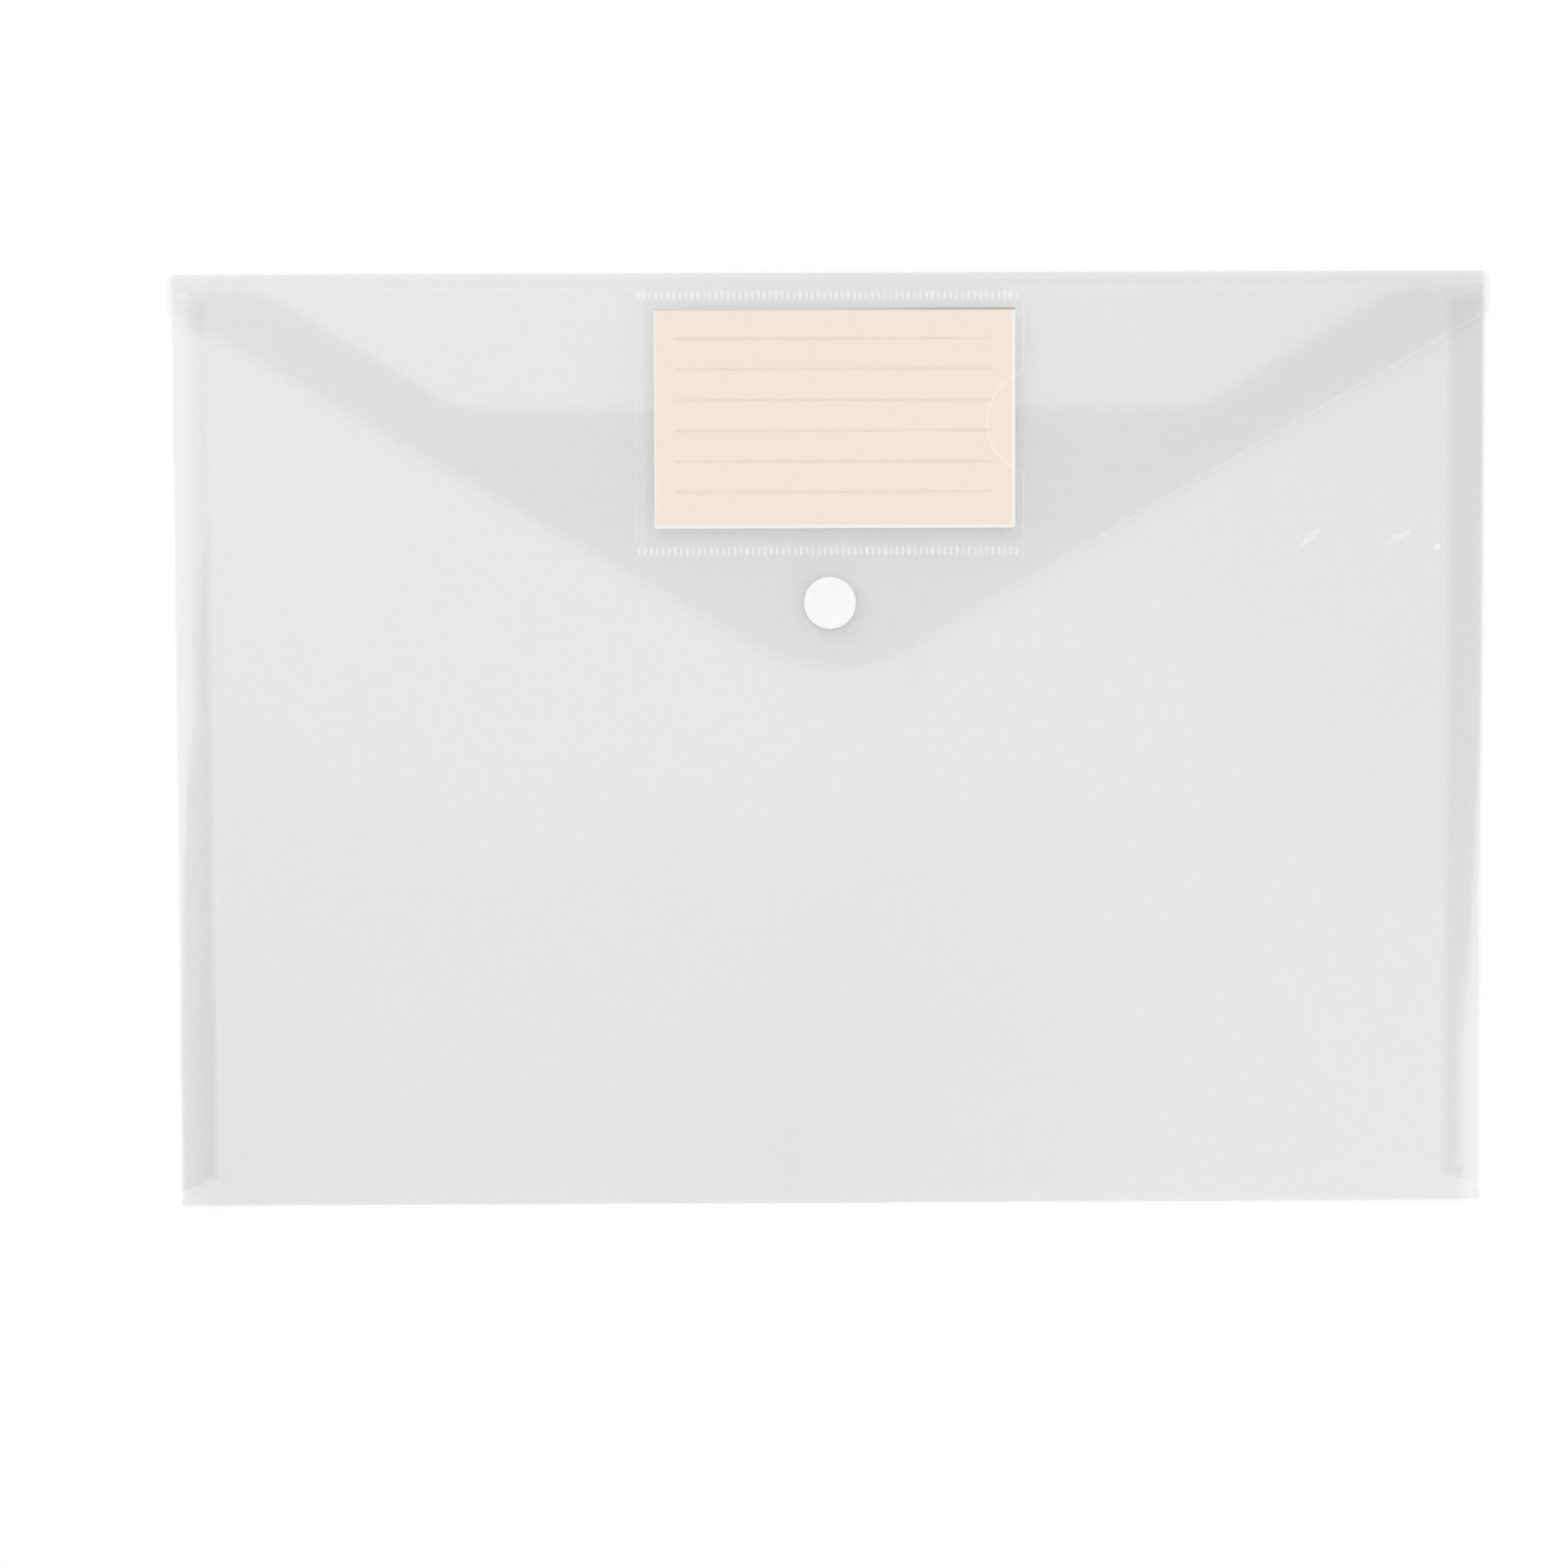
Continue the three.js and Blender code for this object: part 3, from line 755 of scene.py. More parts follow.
def pouch_loops():
    """The flat outline of the rear panel, the bottom fold, the front panel with its mouth, and the side folds
    with their tabs, and then the hole for the stud's post."""
    rear_end = -BOTTOM_BEND - PANEL_HEIGHT
    shoulder = SHOULDER_Y - BOTTOM_FOLD_START
    floor_y = MOUTH_FLOOR_Y - BOTTOM_FOLD_START
    fold_middle = SIDE_FOLD_START + SIDE_BEND / 2
    tab_end = SIDE_FOLD_START + TAB_REACH
    tab_top = PANEL_HEIGHT - TAB_GAP
    right = [
        (HALF_WIDTH, rear_end, 0),
        (HALF_WIDTH, -TAPER_START * BOTTOM_BEND, 0),
        (HALF_WIDTH - FOLD_TAPER, -NOTCH_SLIT, 0),
        (SIDE_FOLD_START, 0, 0),
        (fold_middle, NOTCH_SLIT, 0),
        (tab_end, NOTCH_SLIT + TAB_BOTTOM_SLANT, 0),
        (tab_end, tab_top - TAB_TOP_SLANT, 0),
        (fold_middle, tab_top, 0),
        (fold_middle - FOLD_TAPER, shoulder, 0),
        (MOUTH_TOP_X, shoulder, MOUTH_FILLET),
        (MOUTH_FLOOR_X, floor_y, MOUTH_FILLET),
    ]
    left = [(-x, y, radius) for x, y, radius in reversed(right)]
    hole = circle(0, SNAP_Y - BOTTOM_FOLD_START, POST_HOLE, HOLE_POINTS)[::-1]
    return [rounded(right + left), hole]


# How much lighter than elsewhere the film is drawn, as shares of its milkiness: painted highlights on the folds and
# the side bands
SIDE_FOLD_HIGHLIGHT = 0.42
SIDE_LINE_HIGHLIGHT = 0.15  # more, close to the fold's outermost line
BOTTOM_FOLD_HIGHLIGHT = 0.4
SIDE_BAND_HIGHLIGHT = 0.72  # where the side bands of the front film and the tabs are painted lighter
REAR_SIDE_BAND_HIGHLIGHT = 0.35  # there on the rear panel, within the reach given below of the wallet's side
REAR_SIDE_BAND_REACH = 4


def pouch_sheet(material):
    """The pouch's film, in one piece from the rear panel over the bottom fold to the front panel, and on over
    the side folds to their tabs."""
    tab_start = SIDE_FOLD_START + SIDE_BEND
    side = fold_lines(SIDE_FOLD_START, SIDE_BEND) + span(tab_start, SIDE_FOLD_START + TAB_REACH)
    across = [-u for u in side] + span(-SIDE_FOLD_START, SIDE_FOLD_START) + side
    up = (
        fold_lines(-BOTTOM_BEND, BOTTOM_BEND)
        + span(0, PANEL_HEIGHT)
        + span(-BOTTOM_BEND - PANEL_HEIGHT, -BOTTOM_BEND)
    )
    flat, faces, distance = cut_out(pouch_loops(), across, up)
    u, v = np.abs(flat[:, 0]), flat[:, 1]
    x, y = np.array([pouch_place(*point, 0)[:2] for point in flat]).T
    front = v >= 0
    side_bend = bend_share(u - SIDE_FOLD_START, SIDE_BEND) * front
    bottom_bend = bend_share(-v, BOTTOM_BEND)
    under = front & (u > tab_start)
    band_light = side_band_light(x, y, np.where(under, HALF_WIDTH, WIDEST_LIGHT_BAND))
    near_side = np.abs(x) > HALF_WIDTH - REAR_SIDE_BAND_REACH
    # Painted light: the folds and the side bands are drawn lighter, as highlights where light falls on the curved film
    milkiness_and_painted_light = (
        (1 + drift(x, y))
        * (1 - SIDE_FOLD_HIGHLIGHT * side_bend**2 - SIDE_LINE_HIGHLIGHT * side_bend**8)
        * (1 - BOTTOM_FOLD_HIGHLIGHT * np.clip((bottom_bend - 0.2) / 0.8, 0, 1))
        * (1 - np.where(front, SIDE_BAND_HIGHLIGHT, REAR_SIDE_BAND_HIGHLIGHT * near_side) * band_light)
    )
    # Lower down on the left, painted light and shade: the fold is drawn lighter little by little towards its outermost
    # line, and the tabs further in darker
    from_side = HALF_WIDTH - np.abs(x)
    lower_left = (x < 0) * smoothstep(-y, -20, 20)
    outwards = 0.25 * np.clip(1 - from_side / 9, 0, 1) - 0.3 * under * smoothstep(from_side, 3, 8)
    milkiness_and_painted_light *= 1 - lower_left * outwards
    # Towards the top the front panel is a little clearer and the rear panel a little milkier
    milkiness_and_painted_light *= 1 + np.where(front, -0.1, 0.12) * smoothstep(y, 60, 100)
    # The film in front blurs the edges of the tabs and of the mouth
    tab_end = (u > tab_start + 2) & front
    mouth = v > MOUTH_FLOOR_Y - BOTTOM_FOLD_START - 3
    mouth_least = np.where(u > SIDE_FOLD_START - 2, 0.6, 0.15)
    milkiness_and_painted_light *= np.where(tab_end, soft_edge(distance, 1.8, 0.2), 1)
    milkiness_and_painted_light *= np.where(mouth & ~tab_end, soft_edge(distance, 2.2, mouth_least), 1)
    values = {"milkiness_and_painted_light": milkiness_and_painted_light, "edge": 0 * distance}
    sheet = film_solid("pouch_sheet", flat, faces, pouch_place, values, material)
    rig.replaces(
        sheet,
        "rear_panel", "bottom_fold", "front_panel",
        "left_side_fold", "right_side_fold", "left_weld_tab", "right_weld_tab",
    )
    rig.slot(sheet, "frosted_film")
    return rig.ride(sheet, "pouch")


SQUEEZED = 10  # how far in from the sides the sheet follows the fold's rounded ends
TOP_FOLD_HIGHLIGHT = 0.3
LABEL_PAINTED_LIGHT = 0.2  # in the middle, below the label: painted light that lifts the shadow of the card and the snap there


def flap_place(u, v, depth):
    """Folds the flat sheet over the top. v runs from the rear panel's end over the fold and down the flap."""
    angle = min(max(0, v) / (TOP_FOLD_RADIUS - SHEET / 2), math.pi)
    radius = TOP_FOLD_RADIUS - SHEET * depth
    y = TOP_FOLD_START + radius * math.sin(angle) - max(0, v - TOP_BEND)
    z = TOP_FOLD_RADIUS - radius * math.cos(angle)
    past = y - (HALF_HEIGHT - TOP_CORNER_RADIUS)
    limit = HALF_WIDTH
    if past > 0:
        limit += math.sqrt(max(0, TOP_CORNER_RADIUS**2 - past**2)) - TOP_CORNER_RADIUS
    beyond = max(0, abs(u) - (HALF_WIDTH - SQUEEZED)) / SQUEEZED
    return math.copysign(abs(u) - beyond * (HALF_WIDTH - limit), u), y, z


def flap_outline():
    """The flat outline, anticlockwise from the left end of the tip's arc."""
    tip_centre = FLAP_TIP_Y + FLAP_TIP_RADIUS
    fall = FLAP_SIDE_Y - tip_centre
    slope = math.atan2(fall, HALF_WIDTH) + math.asin(FLAP_TIP_RADIUS / math.hypot(HALF_WIDTH, fall))
    steps = round(2 * slope * FLAP_TIP_RADIUS / RIM_SPACING)
    angles = [-math.pi / 2 - slope + 2 * slope * k / steps for k in range(steps + 1)]
    tip = [Vector((0, tip_centre)) + turn(Vector((FLAP_TIP_RADIUS, 0)), angle) for angle in angles]
    corners = [Vector((HALF_WIDTH, FLAP_SIDE_Y)), Vector((HALF_WIDTH, TOP_FOLD_START + TOP_BEND))]
    corners += [Vector((-p.x, p.y)) for p in reversed(corners)]
    return subdivided(tip + corners, RIM_SPACING)


def flap_sheet(material):
    """Laid flat, the flap's own Y stays, and the fold runs on past it, up to where the rear panel begins."""
    loops = [flap_outline(), circle(0, SNAP_Y, POST_HOLE, HOLE_POINTS)[::-1]]
    across = span(-HALF_WIDTH, HALF_WIDTH)
    up = fold_lines(TOP_FOLD_START, TOP_BEND) + span(FLAP_TIP_Y, TOP_FOLD_START)
    flat, faces, distance = cut_out(loops, across, up)
    total = TOP_FOLD_START + TOP_BEND
    x, y = flat[:, 0], np.minimum(flat[:, 1], HALF_HEIGHT)
    bend = bend_share(flat[:, 1] - TOP_FOLD_START, TOP_BEND)
    slanted = (y < FLAP_SIDE_Y + 0.1) & (np.hypot(x, y - SNAP_Y) > 3)
    # The flap's left slanted edges are drawn fading lighter towards the edge
    faded = slanted * smoothstep(-x, -10, 20)
    milkiness_and_painted_light = (
        (1 + drift(x, y))
        # Painted highlight along the top fold
        * (1 - TOP_FOLD_HIGHLIGHT * np.clip((bend - 0.5) / 0.35, 0, 1))
        # Painted light below the label, against the shadow there
        * (1 - LABEL_PAINTED_LIGHT * smoothstep(56 - y, 0, 6) * smoothstep(70 - np.abs(x), 0, 30))
        * (1 - faded * (1 - soft_edge(distance, 3.2, 0.2)))
    )
    # Painted highlight: the flap's right-hand slanted edge is drawn white and glowing
    white_glow = 0.7 * slanted * smoothstep(x, 15, 60)
    values = {"milkiness_and_painted_light": milkiness_and_painted_light, "edge": white_glow * np.clip(1 - distance / EDGE_RINGS[0], 0, 1)}
    sheet = film_solid(
        "flap_sheet", flat, faces, lambda x, y, depth: flap_place(x, total - y, depth), values, material
    )
    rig.replaces(sheet, "top_fold_rear", "top_fold_flap", "flap_panel")
    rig.slot(sheet, "frosted_film")
    fold_y = TOP_FOLD_START * MM
    rear, front = (0, fold_y, SHEET * MM), (0, fold_y, (FLAP_TOP - SHEET) * MM)
    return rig.blend(sheet, "pouch", "flap", start=rear, end=front)


POCKET_SLOPES = (2.4, 3.6, 1.7)  # from the left, bottom and top weld to where the film has risen
POCKET_CORNER = 1.2
POCKET_RIM_SPACING = 0.7  # close, so that the film rises evenly beside the card
POCKET_SPACING = 1.6
NOTCH_STEPS = 40
FREE_REACH = 14  # in from the card's right end: the open side and the notch, whose edges stand free and get the full painted highlight
HELD_EDGE = 0.45  # how strong the painted highlight on the other edges is beside those
WELDED_EDGE = 0.3


def pocket_place(x, y, depth):
    """The film lies welded on three sides and stands up over the card."""
    left, bottom, top = POCKET_SLOPES
    rise = smoothstep(x, SLOT_LEFT, SLOT_LEFT + left)
    rise *= smoothstep(y, SLOT_Y[0], SLOT_Y[0] + bottom) * (1 - smoothstep(y, SLOT_Y[1] - top, SLOT_Y[1]))
    return x, y, FLAP_TOP + WELD_GAP + POCKET_RISE * rise + POCKET_FILM * (1 - depth) - WELD_GAP * (1 - depth)


def label_pocket(material):
    """The pocket's film, with the thumb notch cut into its open right side."""
    notch_y = sum(POCKET_Y) / 2
    reach = math.sqrt(NOTCH_RADIUS**2 - (NOTCH_X - POCKET_X[1]) ** 2)
    sweep = math.atan2(reach, NOTCH_X - POCKET_X[1])
    angles = [math.pi + sweep - 2 * sweep * k / NOTCH_STEPS for k in range(NOTCH_STEPS + 1)]
    notch = [Vector((NOTCH_X, notch_y)) + turn(Vector((NOTCH_RADIUS, 0)), angle) for angle in angles]
    outer = rounded(box_corners(POCKET_X, POCKET_Y, POCKET_CORNER), POCKET_RIM_SPACING)
    at_notch = [k for k, p in enumerate(outer) if p.x > 0 and abs(p.y - notch_y) <= reach + 0.3]
    loop = outer[:at_notch[0]] + notch + outer[at_notch[-1] + 1:]
    # Closer lines lie where the film rises beside the welds
    across = span(*POCKET_X, POCKET_SPACING) + [SLOT_LEFT + 0.4 * k for k in range(7)]
    up = span(*POCKET_Y, POCKET_SPACING)
    up += [SLOT_Y[0] + 0.6 * k for k in range(7)] + [SLOT_Y[1] - 0.4 * k for k in range(6)]
    flat, faces, distance = cut_out([loop], across, sorted(up))
    # The painted highlight is full only along the open right side's edge, which stands free
    free = flat[:, 0] > CARD_X[1] - FREE_REACH
    welded = (flat[:, 1] < SLOT_Y[0]) | (flat[:, 1] > SLOT_Y[1])
    edge = np.clip(1 - distance / EDGE_RINGS[0], 0, 1) * np.where(free, 1, HELD_EDGE)
    edge *= np.where(welded, WELDED_EDGE, 1)
    pocket = film_solid("label_pocket_film", flat, faces, pocket_place, {"edge": edge}, material)
    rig.replaces(pocket, "label_pocket")
    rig.slot(pocket, "clear_film")
    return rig.ride(pocket, "flap")


CARD_CORNER = 0.4
CARD_SPACING = 6


def card_place(x, y, depth):
    return x, y, CARD_Z[1] - (CARD_Z[1] - CARD_Z[0]) * depth


def label_card(material):
    """A thin card with slightly rounded corners."""
    outline = rounded(box_corners(CARD_X, CARD_Y, CARD_CORNER), CARD_SPACING)
    flat, faces, _ = cut_out([outline], span(*CARD_X, CARD_SPACING), span(*CARD_Y, CARD_SPACING))
    card = film_solid("ruled_card", flat, faces, card_place, {}, material)
    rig.replaces(card, "label_card")
    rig.slot(card, "label_paper")
    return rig.ride(card, "card")


def ridge_tree():
    """Ridges in a row, each a flat dome with its own strength. The inputs are the first ridge's place, the
    step to the next, their number, half sizes, greatest strength, turn, seed and finish, in metres and
    radians."""
    tree = bpy.data.node_groups.new("weld_ridges", "GeometryNodeTree")
    tree.interface.new_socket("Geometry", in_out="OUTPUT", socket_type="NodeSocketGeometry")
    for name, kind in {
        "Start": "Vector", "Step": "Vector", "Count": "Int", "Half Size": "Vector", "Strongest": "Float",
        "Turn": "Float", "Seed": "Int", "Finish": "Material",
    }.items():
        tree.interface.new_socket(name, in_out="INPUT", socket_type=f"NodeSocket{kind}")
    graph = Graph(tree)
    given = tree.nodes.new("NodeGroupInput")
    value = {socket.name: Field(graph, socket) for socket in given.outputs}
    line = graph.node(
        "GeometryNodeMeshLine", {"mode": "OFFSET"},
        {"Count": value["Count"], "Start Location": value["Start"], "Offset": value["Step"]},
    )
    dome = graph.node("GeometryNodeMeshUVSphere", None, {"Segments": 10, "Rings": 6, "Radius": 1.0})
    uneven = graph.node(
        "FunctionNodeRandomValue", {"data_type": "FLOAT"},
        {"Min": value["Strongest"] * 0.6, "Max": value["Strongest"], "Seed": value["Seed"]}, output="Value",
    )
    marked = graph.node(
        "GeometryNodeStoreNamedAttribute", {"data_type": "FLOAT", "domain": "POINT"},
        {"Geometry": line, "Name": "strength", "Value": uneven},
    )
    turned_by = graph.node("ShaderNodeCombineXYZ", None, {"Z": value["Turn"]})
    rows = graph.node(
        "GeometryNodeInstanceOnPoints", None,
        {"Points": marked, "Instance": dome, "Rotation": turned_by, "Scale": value["Half Size"]},
    )
    real = graph.node("GeometryNodeRealizeInstances", None, {"Geometry": rows})
    done = graph.node("GeometryNodeSetMaterial", None, {"Geometry": real, "Material": value["Finish"]})
    graph.node("NodeGroupOutput", None, {"Geometry": done})
    return tree


def ridges(name, tree, body, start, step, count, half_size, strongest, seed, material, slant=0):
    """One row of ridges, made by the tree and then turned into a plain mesh. The slant is in degrees."""
    maker = bpy.data.objects.new(name + "_maker", bpy.data.meshes.new(name + "_maker"))
    bpy.context.scene.collection.objects.link(maker)
    modifier = maker.modifiers.new("ridges", "NODES")
    modifier.node_group = tree
    values = {
        "Start": [c * MM for c in start], "Step": [c * MM for c in step], "Count": count,
        "Half Size": [c * MM for c in half_size], "Strongest": strongest, "Turn": math.radians(slant),
        "Seed": seed, "Finish": material,
    }
    for item in tree.interface.items_tree:
        if item.in_out == "INPUT":
            modifier[item.identifier] = values[item.name]
    depsgraph = bpy.context.evaluated_depsgraph_get()
    mesh = bpy.data.meshes.new_from_object(maker.evaluated_get(depsgraph), depsgraph=depsgraph)
    bpy.data.objects.remove(maker)
    mesh.name = name
    row = piece(name, mesh, material)
    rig.slot(row, "frosted_film")
    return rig.ride(row, body)


RIDGE_PITCH = 1.5
POCKET_WELD_Y = (111.5, 47.9)
POCKET_WELD_INSET = 1  # from the film's sides to the rows' ends
POCKET_RIDGE = (0.42, 1.3, 0.04)  # half sizes
POCKET_STRONGEST = 0.8
TAB_WELD_X = 158.9
TAB_WELD_INSET = 4
TAB_RIDGE = (1.75, 0.36, 0.04)  # half sizes
TAB_STRONGEST = 0.12


def weld_rows(tree, material):
    """The pressed welds above and below the card, and those of the two tabs on the rear panel."""
    start_x = POCKET_X[0] + POCKET_WELD_INSET
    count = int((POCKET_X[1] - POCKET_WELD_INSET - start_x) / RIDGE_PITCH) + 1
    for name, y, seed in zip(("pocket_top_weld", "pocket_bottom_weld"), POCKET_WELD_Y, (1, 2)):
        ridges(name, tree, "flap", (start_x, y, FLAP_TOP + POCKET_FILM), (RIDGE_PITCH, 0, 0), count,
               POCKET_RIDGE, POCKET_STRONGEST, seed, material)
    start_y = BOTTOM_FOLD_START + TAB_WELD_INSET
    count = int((TOP_FOLD_START - TAB_WELD_INSET - start_y) / RIDGE_PITCH) + 1
    for name, x, seed in (("left_tab_weld", -TAB_WELD_X, 3), ("right_tab_weld", TAB_WELD_X, 4)):
        ridges(name, tree, "pouch", (x, start_y, 2 * SHEET), (0, RIDGE_PITCH, 0), count,
               TAB_RIDGE, TAB_STRONGEST, seed, material)


# Each mark's middle, half length, half width, slant in degrees and strength
SCRATCHES = (
    ((121, 51), 3.6, 0.8, 42, 0.7),
    ((142.9, 50.9), 3.8, 0.75, 24, 0.65),
    ((152.8, 48.4), 0.9, 0.8, 20, 1.1),
)
SCRATCH_HEIGHT = 0.03


def scratches(tree, material):
    """The marks of use on the front panel, at the right."""
    for number, ((x, y), length, width, slant, strength) in enumerate(SCRATCHES, 1):
        ridges(f"front_scratch_{number}", tree, "pouch", (x, y, FRONT_TOP + front_rise(x, y)), (0, 0, 0), 1,
               (length, width, SCRATCH_HEIGHT), strength, number, material, slant)


TURN_STEPS = 96
RIGHT_ANGLE = math.pi / 2
SNAP_SHARP = math.radians(32)


def quarter(centre_r, centre_z, radius, from_angle, steps=8):
    """A quarter round of a profile."""
    angles = [from_angle + RIGHT_ANGLE * k / steps for k in range(steps + 1)]
    return [(centre_r + radius * math.cos(angle), centre_z + radius * math.sin(angle)) for angle in angles]


def turned(name, profile, node, body, material):
    """A turned piece about the snap's axis, from a profile that runs anticlockwise in radius and height. The
    profile starts and ends on the axis, or it closes on itself."""
    on_axis = profile[0][0] == 0
    ring = profile[1:-1] if on_axis else profile
    vertices = []
    for r, z in ring:
        for k in range(TURN_STEPS):
            angle = 2 * math.pi * k / TURN_STEPS
            vertices.append((r * math.cos(angle), SNAP_Y + r * math.sin(angle), z))
    faces = []
    rows = len(ring)
    for i in range(rows - 1 if on_axis else rows):
        below, above = i * TURN_STEPS, (i + 1) % rows * TURN_STEPS
        for k in range(TURN_STEPS):
            following = (k + 1) % TURN_STEPS
            faces.append((below + k, below + following, above + following, above + k))
    if on_axis:
        for end, row in ((profile[0], 0), (profile[-1], (rows - 1) * TURN_STEPS)):
            pole = len(vertices)
            vertices.append((0, SNAP_Y, end[1]))
            for k in range(TURN_STEPS):
                following = (k + 1) % TURN_STEPS
                pair = (row + following, row + k) if row == 0 else (row + k, row + following)
                faces.append((pole, *pair))
    mesh = mesh_of(name, vertices, faces)
    mesh.shade_smooth()
    mesh.set_sharp_from_angle(angle=SNAP_SHARP)
    made = piece(name, mesh, material)
    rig.replaces(made, node)
    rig.slot(made, "snap_plastic")
    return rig.ride(made, body)


CAP_RADIUS = 6.65
CAP_HEIGHT = 1.2
CAP_RIM_RADIUS = 0.35
CAP_DISH = (5.2, 1.8, 0.25)  # from this radius the cap's top sinks, down to this radius, by this much
DISH_STEPS = 10
# The radii of the pieces' edges
CAP_EDGE = 0.1
POST_EDGE = 0.15
SOCKET_EDGE = 0.2
PLATE_EDGE = 0.1
STUD_EDGE = 0.15
KNOB_EDGE = 0.3
BASE_EDGE = 0.4
# The posts and the other three pieces
POST_RADIUS = 1.3
SOCKET_RADIUS = 5.3
SOCKET_CAVITY = 2.6
SOCKET_WALL = 1.6
SOCKET_PLATE = 0.45
SOCKET_GAP = 0.8  # from the front panel to the socket's lower rim
STUD_RADIUS = 5.5
STUD_PLATE = 0.5
KNOB_RADIUS = 2.3
KNOB_FILLET = 0.2
KNOB_GAP = 0.3  # from the stud's knob to the cap's post and the socket's plate
BASE_THICKNESS = 0.8


def snap_profiles():
    """The four pieces, one above the other: their names, profiles, CAD nodes and bodies."""
    flap_bottom = FLAP_TOP - SHEET
    plate_bottom = flap_bottom - SOCKET_PLATE
    cap_top = FLAP_TOP + CAP_HEIGHT
    socket_bottom = FRONT_TOP + SOCKET_GAP
    knob_top = plate_bottom - KNOB_GAP
    front_bottom = FRONT_TOP - SHEET
    dish_start, dish_end, dish_depth = CAP_DISH
    dish = [
        (dish_start + (dish_end - dish_start) * k / DISH_STEPS,
         cap_top - dish_depth * float(smoothstep(k / DISH_STEPS, 0, 1)))
        for k in range(DISH_STEPS + 1)
    ]
    cap = [
        (0, plate_bottom),
        *quarter(POST_RADIUS - POST_EDGE, plate_bottom + POST_EDGE, POST_EDGE, -RIGHT_ANGLE, 4),
        (POST_RADIUS, FLAP_TOP),
        *quarter(CAP_RADIUS - CAP_EDGE, FLAP_TOP + CAP_EDGE, CAP_EDGE, -RIGHT_ANGLE, 3),
        *quarter(CAP_RADIUS - CAP_RIM_RADIUS, cap_top - CAP_RIM_RADIUS, CAP_RIM_RADIUS, 0),
        *dish,
        (0, cap_top - dish_depth),
    ]
    wall_outside = SOCKET_CAVITY + SOCKET_WALL
    rim_z = socket_bottom + SOCKET_EDGE
    socket = [
        (POST_HOLE, plate_bottom),
        (SOCKET_CAVITY, plate_bottom),
        *quarter(SOCKET_CAVITY + SOCKET_EDGE, rim_z, SOCKET_EDGE, -2 * RIGHT_ANGLE, 4),
        *quarter(wall_outside - SOCKET_EDGE, rim_z, SOCKET_EDGE, -RIGHT_ANGLE, 4),
        (wall_outside, plate_bottom),
        *quarter(SOCKET_RADIUS - PLATE_EDGE, plate_bottom + PLATE_EDGE, PLATE_EDGE, -RIGHT_ANGLE, 3),
        (SOCKET_RADIUS, flap_bottom),
        (POST_HOLE, flap_bottom),
    ]
    stud_top = FRONT_TOP + STUD_PLATE
    neck = quarter(KNOB_RADIUS + KNOB_FILLET, stud_top + KNOB_FILLET, KNOB_FILLET, 2 * RIGHT_ANGLE, 4)
    stud = [
        (POST_HOLE, FRONT_TOP),
        (STUD_RADIUS, FRONT_TOP),
        *quarter(STUD_RADIUS - STUD_EDGE, stud_top - STUD_EDGE, STUD_EDGE, 0, 4),
        *reversed(neck),
        *quarter(KNOB_RADIUS - KNOB_EDGE, knob_top - KNOB_EDGE, KNOB_EDGE, 0),
        (POST_HOLE, knob_top),
    ]
    base = [
        (0, front_bottom - BASE_THICKNESS),
        *quarter(STUD_RADIUS - BASE_EDGE, front_bottom - BASE_EDGE, BASE_EDGE, -RIGHT_ANGLE),
        (STUD_RADIUS, front_bottom),
        (POST_RADIUS, front_bottom),
        *quarter(POST_RADIUS - POST_EDGE, knob_top - POST_EDGE, POST_EDGE, 0, 4),
        (0, knob_top),
    ]
    return (
        ("snap_cap_disc", cap, "snap_cap", "flap"),
        ("snap_socket_ring", socket, "snap_socket", "flap"),
        ("snap_stud_knob", stud, "snap_stud", "pouch"),
        ("snap_base_disc", base, "snap_stud_base", "pouch"),
    )


def snap(material):
    """The four pieces of the snap, from the cap on the flap to the base inside the pouch."""
    for name, profile, node, body in snap_profiles():
        turned(name, profile, node, body, material)


TABLE = (-2500, 2500)
TABLE_Z = -0.3
AMBIENT = 0.26  # the world's light
# Each soft box's name, place, size in metres and power in watts
LAMPS = (
    ("soft_box", (-200, 300, 1500), 1.2, 13.8),
    ("fill_box", (500, -400, 1300), 1.2, 4.3),
)
FILM_BOUNCES = 48  # each film has two faces, and the label lies over four films
SCATTER_BOUNCES = 2
CAMERA_PLACE = (-17.4, 39.62, 938.42)
CAMERA_TURNS = (("X", -3.088), ("Y", -0.353), ("Z", -0.238))  # in degrees
LENS, SENSOR = 85.12, 36


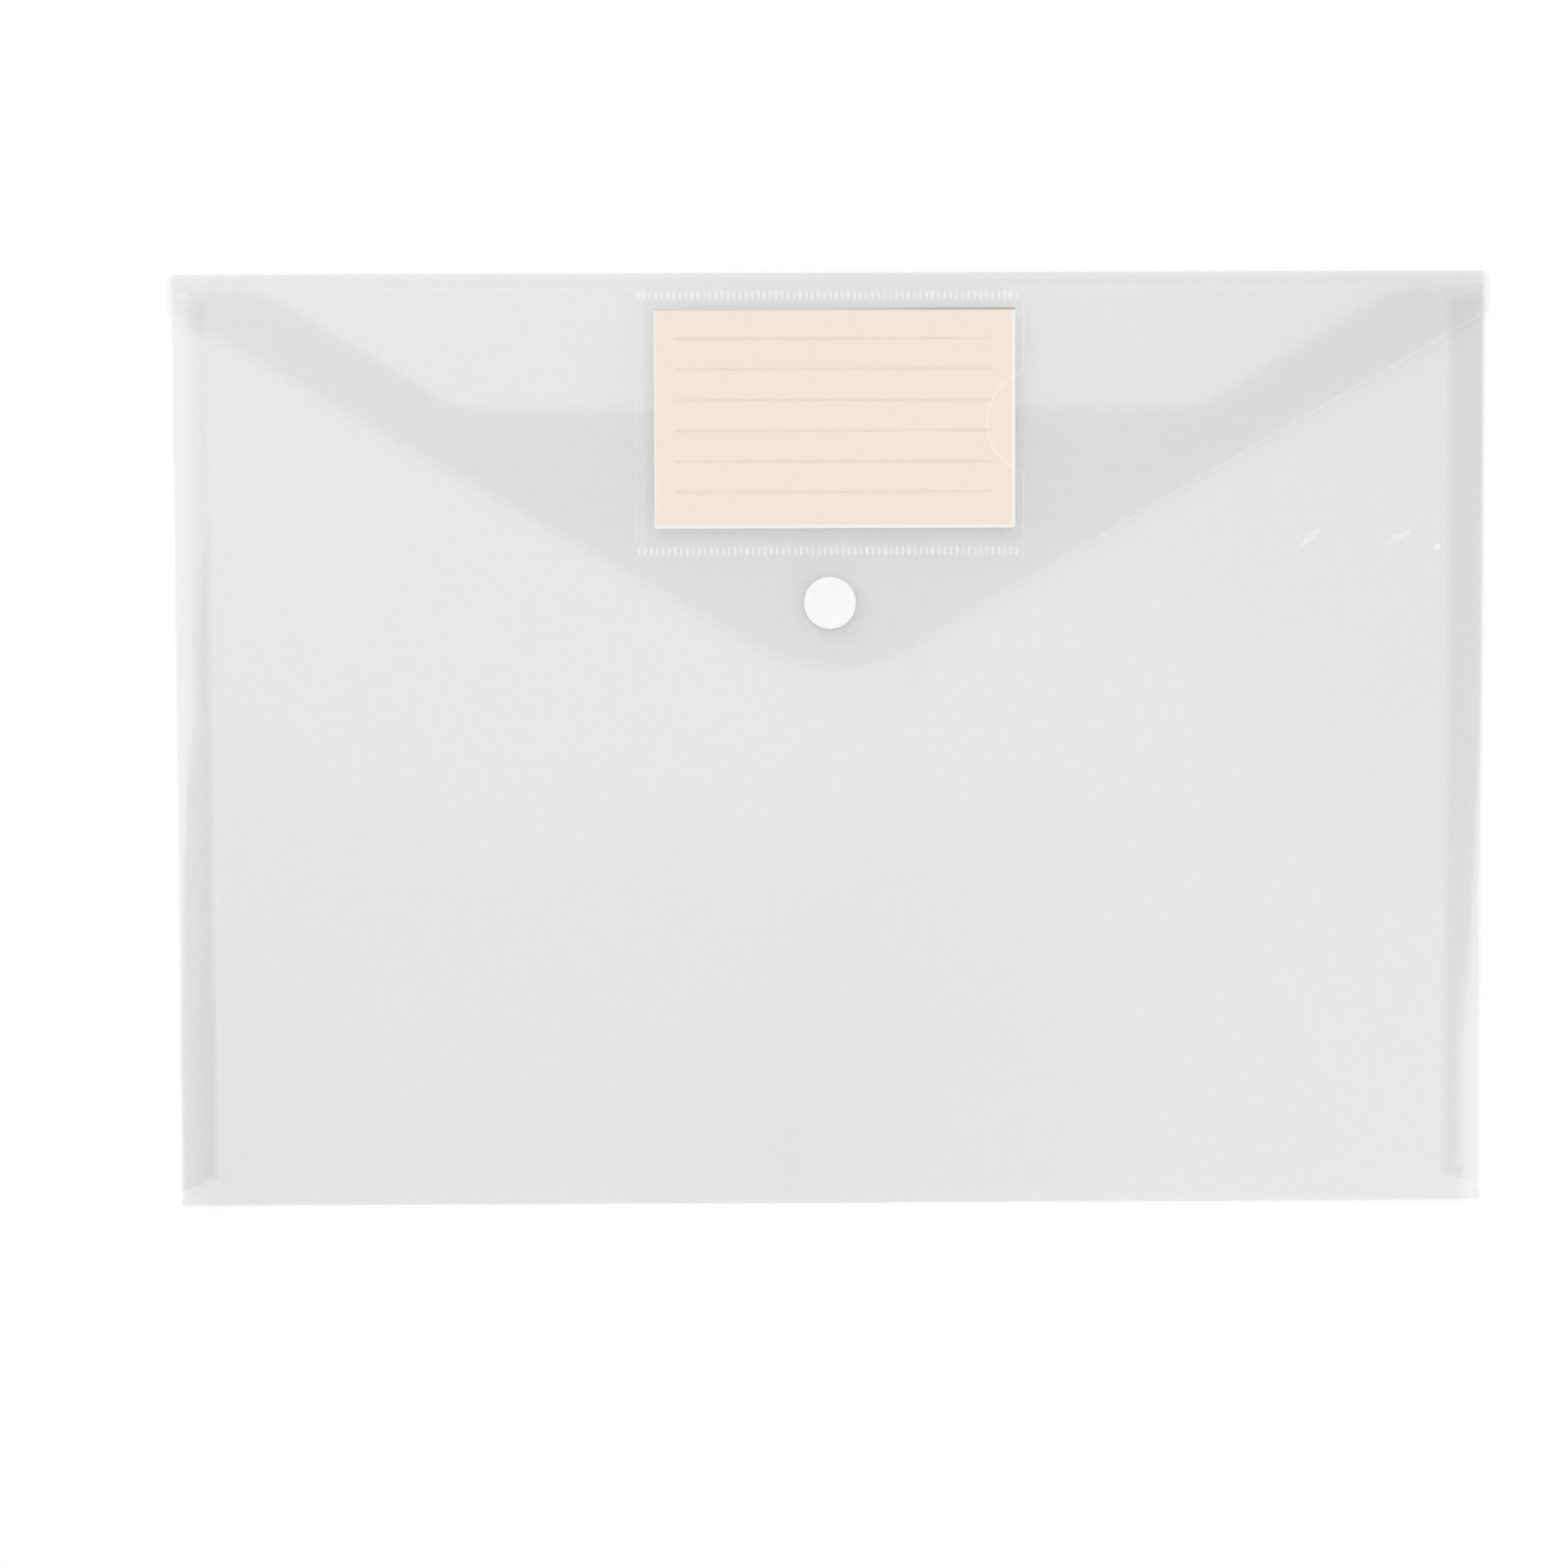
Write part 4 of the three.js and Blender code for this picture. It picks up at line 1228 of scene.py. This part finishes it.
def studio():
    """The colours' and the light's settings, the table, the lamps, the backdrop and the camera."""
    scene = bpy.context.scene
    scene.view_settings.view_transform = "Standard"
    scene.cycles.transparent_max_bounces = FILM_BOUNCES
    scene.cycles.diffuse_bounces = SCATTER_BOUNCES
    corners = [(x, y, TABLE_Z) for x, y, _ in box_corners(TABLE, TABLE, 0)]
    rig.stage(piece("studio_table", mesh_of("studio_table", corners, [(0, 1, 2, 3)]), pale_floor()))
    for name, place, size, power in LAMPS:
        lamp(name, place, size, power)
    backdrop(scene)
    camera(scene)


def lamp(name, place, size, power):
    """A square soft box that faces the wallet."""
    data = bpy.data.lights.new(name, "AREA")
    data.size, data.energy = size, power
    box = bpy.data.objects.new(name, data)
    box.location = Vector(place) * MM
    box.rotation_euler = box.location.to_track_quat("Z", "Y").to_euler()
    bpy.context.scene.collection.objects.link(box)


def backdrop(scene):
    """White to the camera and in reflections, and a pale grey that lights the wallet."""
    world = bpy.data.worlds.new("studio")
    world.use_nodes = True
    graph = Graph(world.node_tree)
    graph.tree.nodes.clear()
    strength = AMBIENT + (1 - AMBIENT) * graph.shown()
    glow = graph.node("ShaderNodeBackground", None, {"Color": (*WHITE, 1), "Strength": strength})
    graph.node("ShaderNodeOutputWorld", None, {"Surface": glow})
    scene.world = world


def camera(scene):
    """Above the wallet, at the photograph's distance, tilt and framing."""
    data = bpy.data.cameras.new("camera")
    data.lens, data.sensor_width = LENS, SENSOR
    view = bpy.data.objects.new("camera", data)
    place = Matrix.Translation(Vector(CAMERA_PLACE) * MM)
    for axis, angle in CAMERA_TURNS:
        place = place @ Matrix.Rotation(math.radians(angle), 4, axis)
    view.matrix_world = place
    scene.collection.objects.link(view)
    scene.camera = view


film = frosted_film()
pouch_sheet(film)
flap_sheet(film)
label_pocket(clear_film())
label_card(label_paper())
white_glow = whitened_glowing_film()
row = ridge_tree()
weld_rows(row, white_glow)
scratches(row, white_glow)
snap(snap_plastic())
studio()

visual_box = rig.bounds()
with open("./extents.json", "w") as sizes:
    json.dump({"cad": [list(c) for c in cad_box], "visual": [list(c) for c in visual_box]}, sizes)
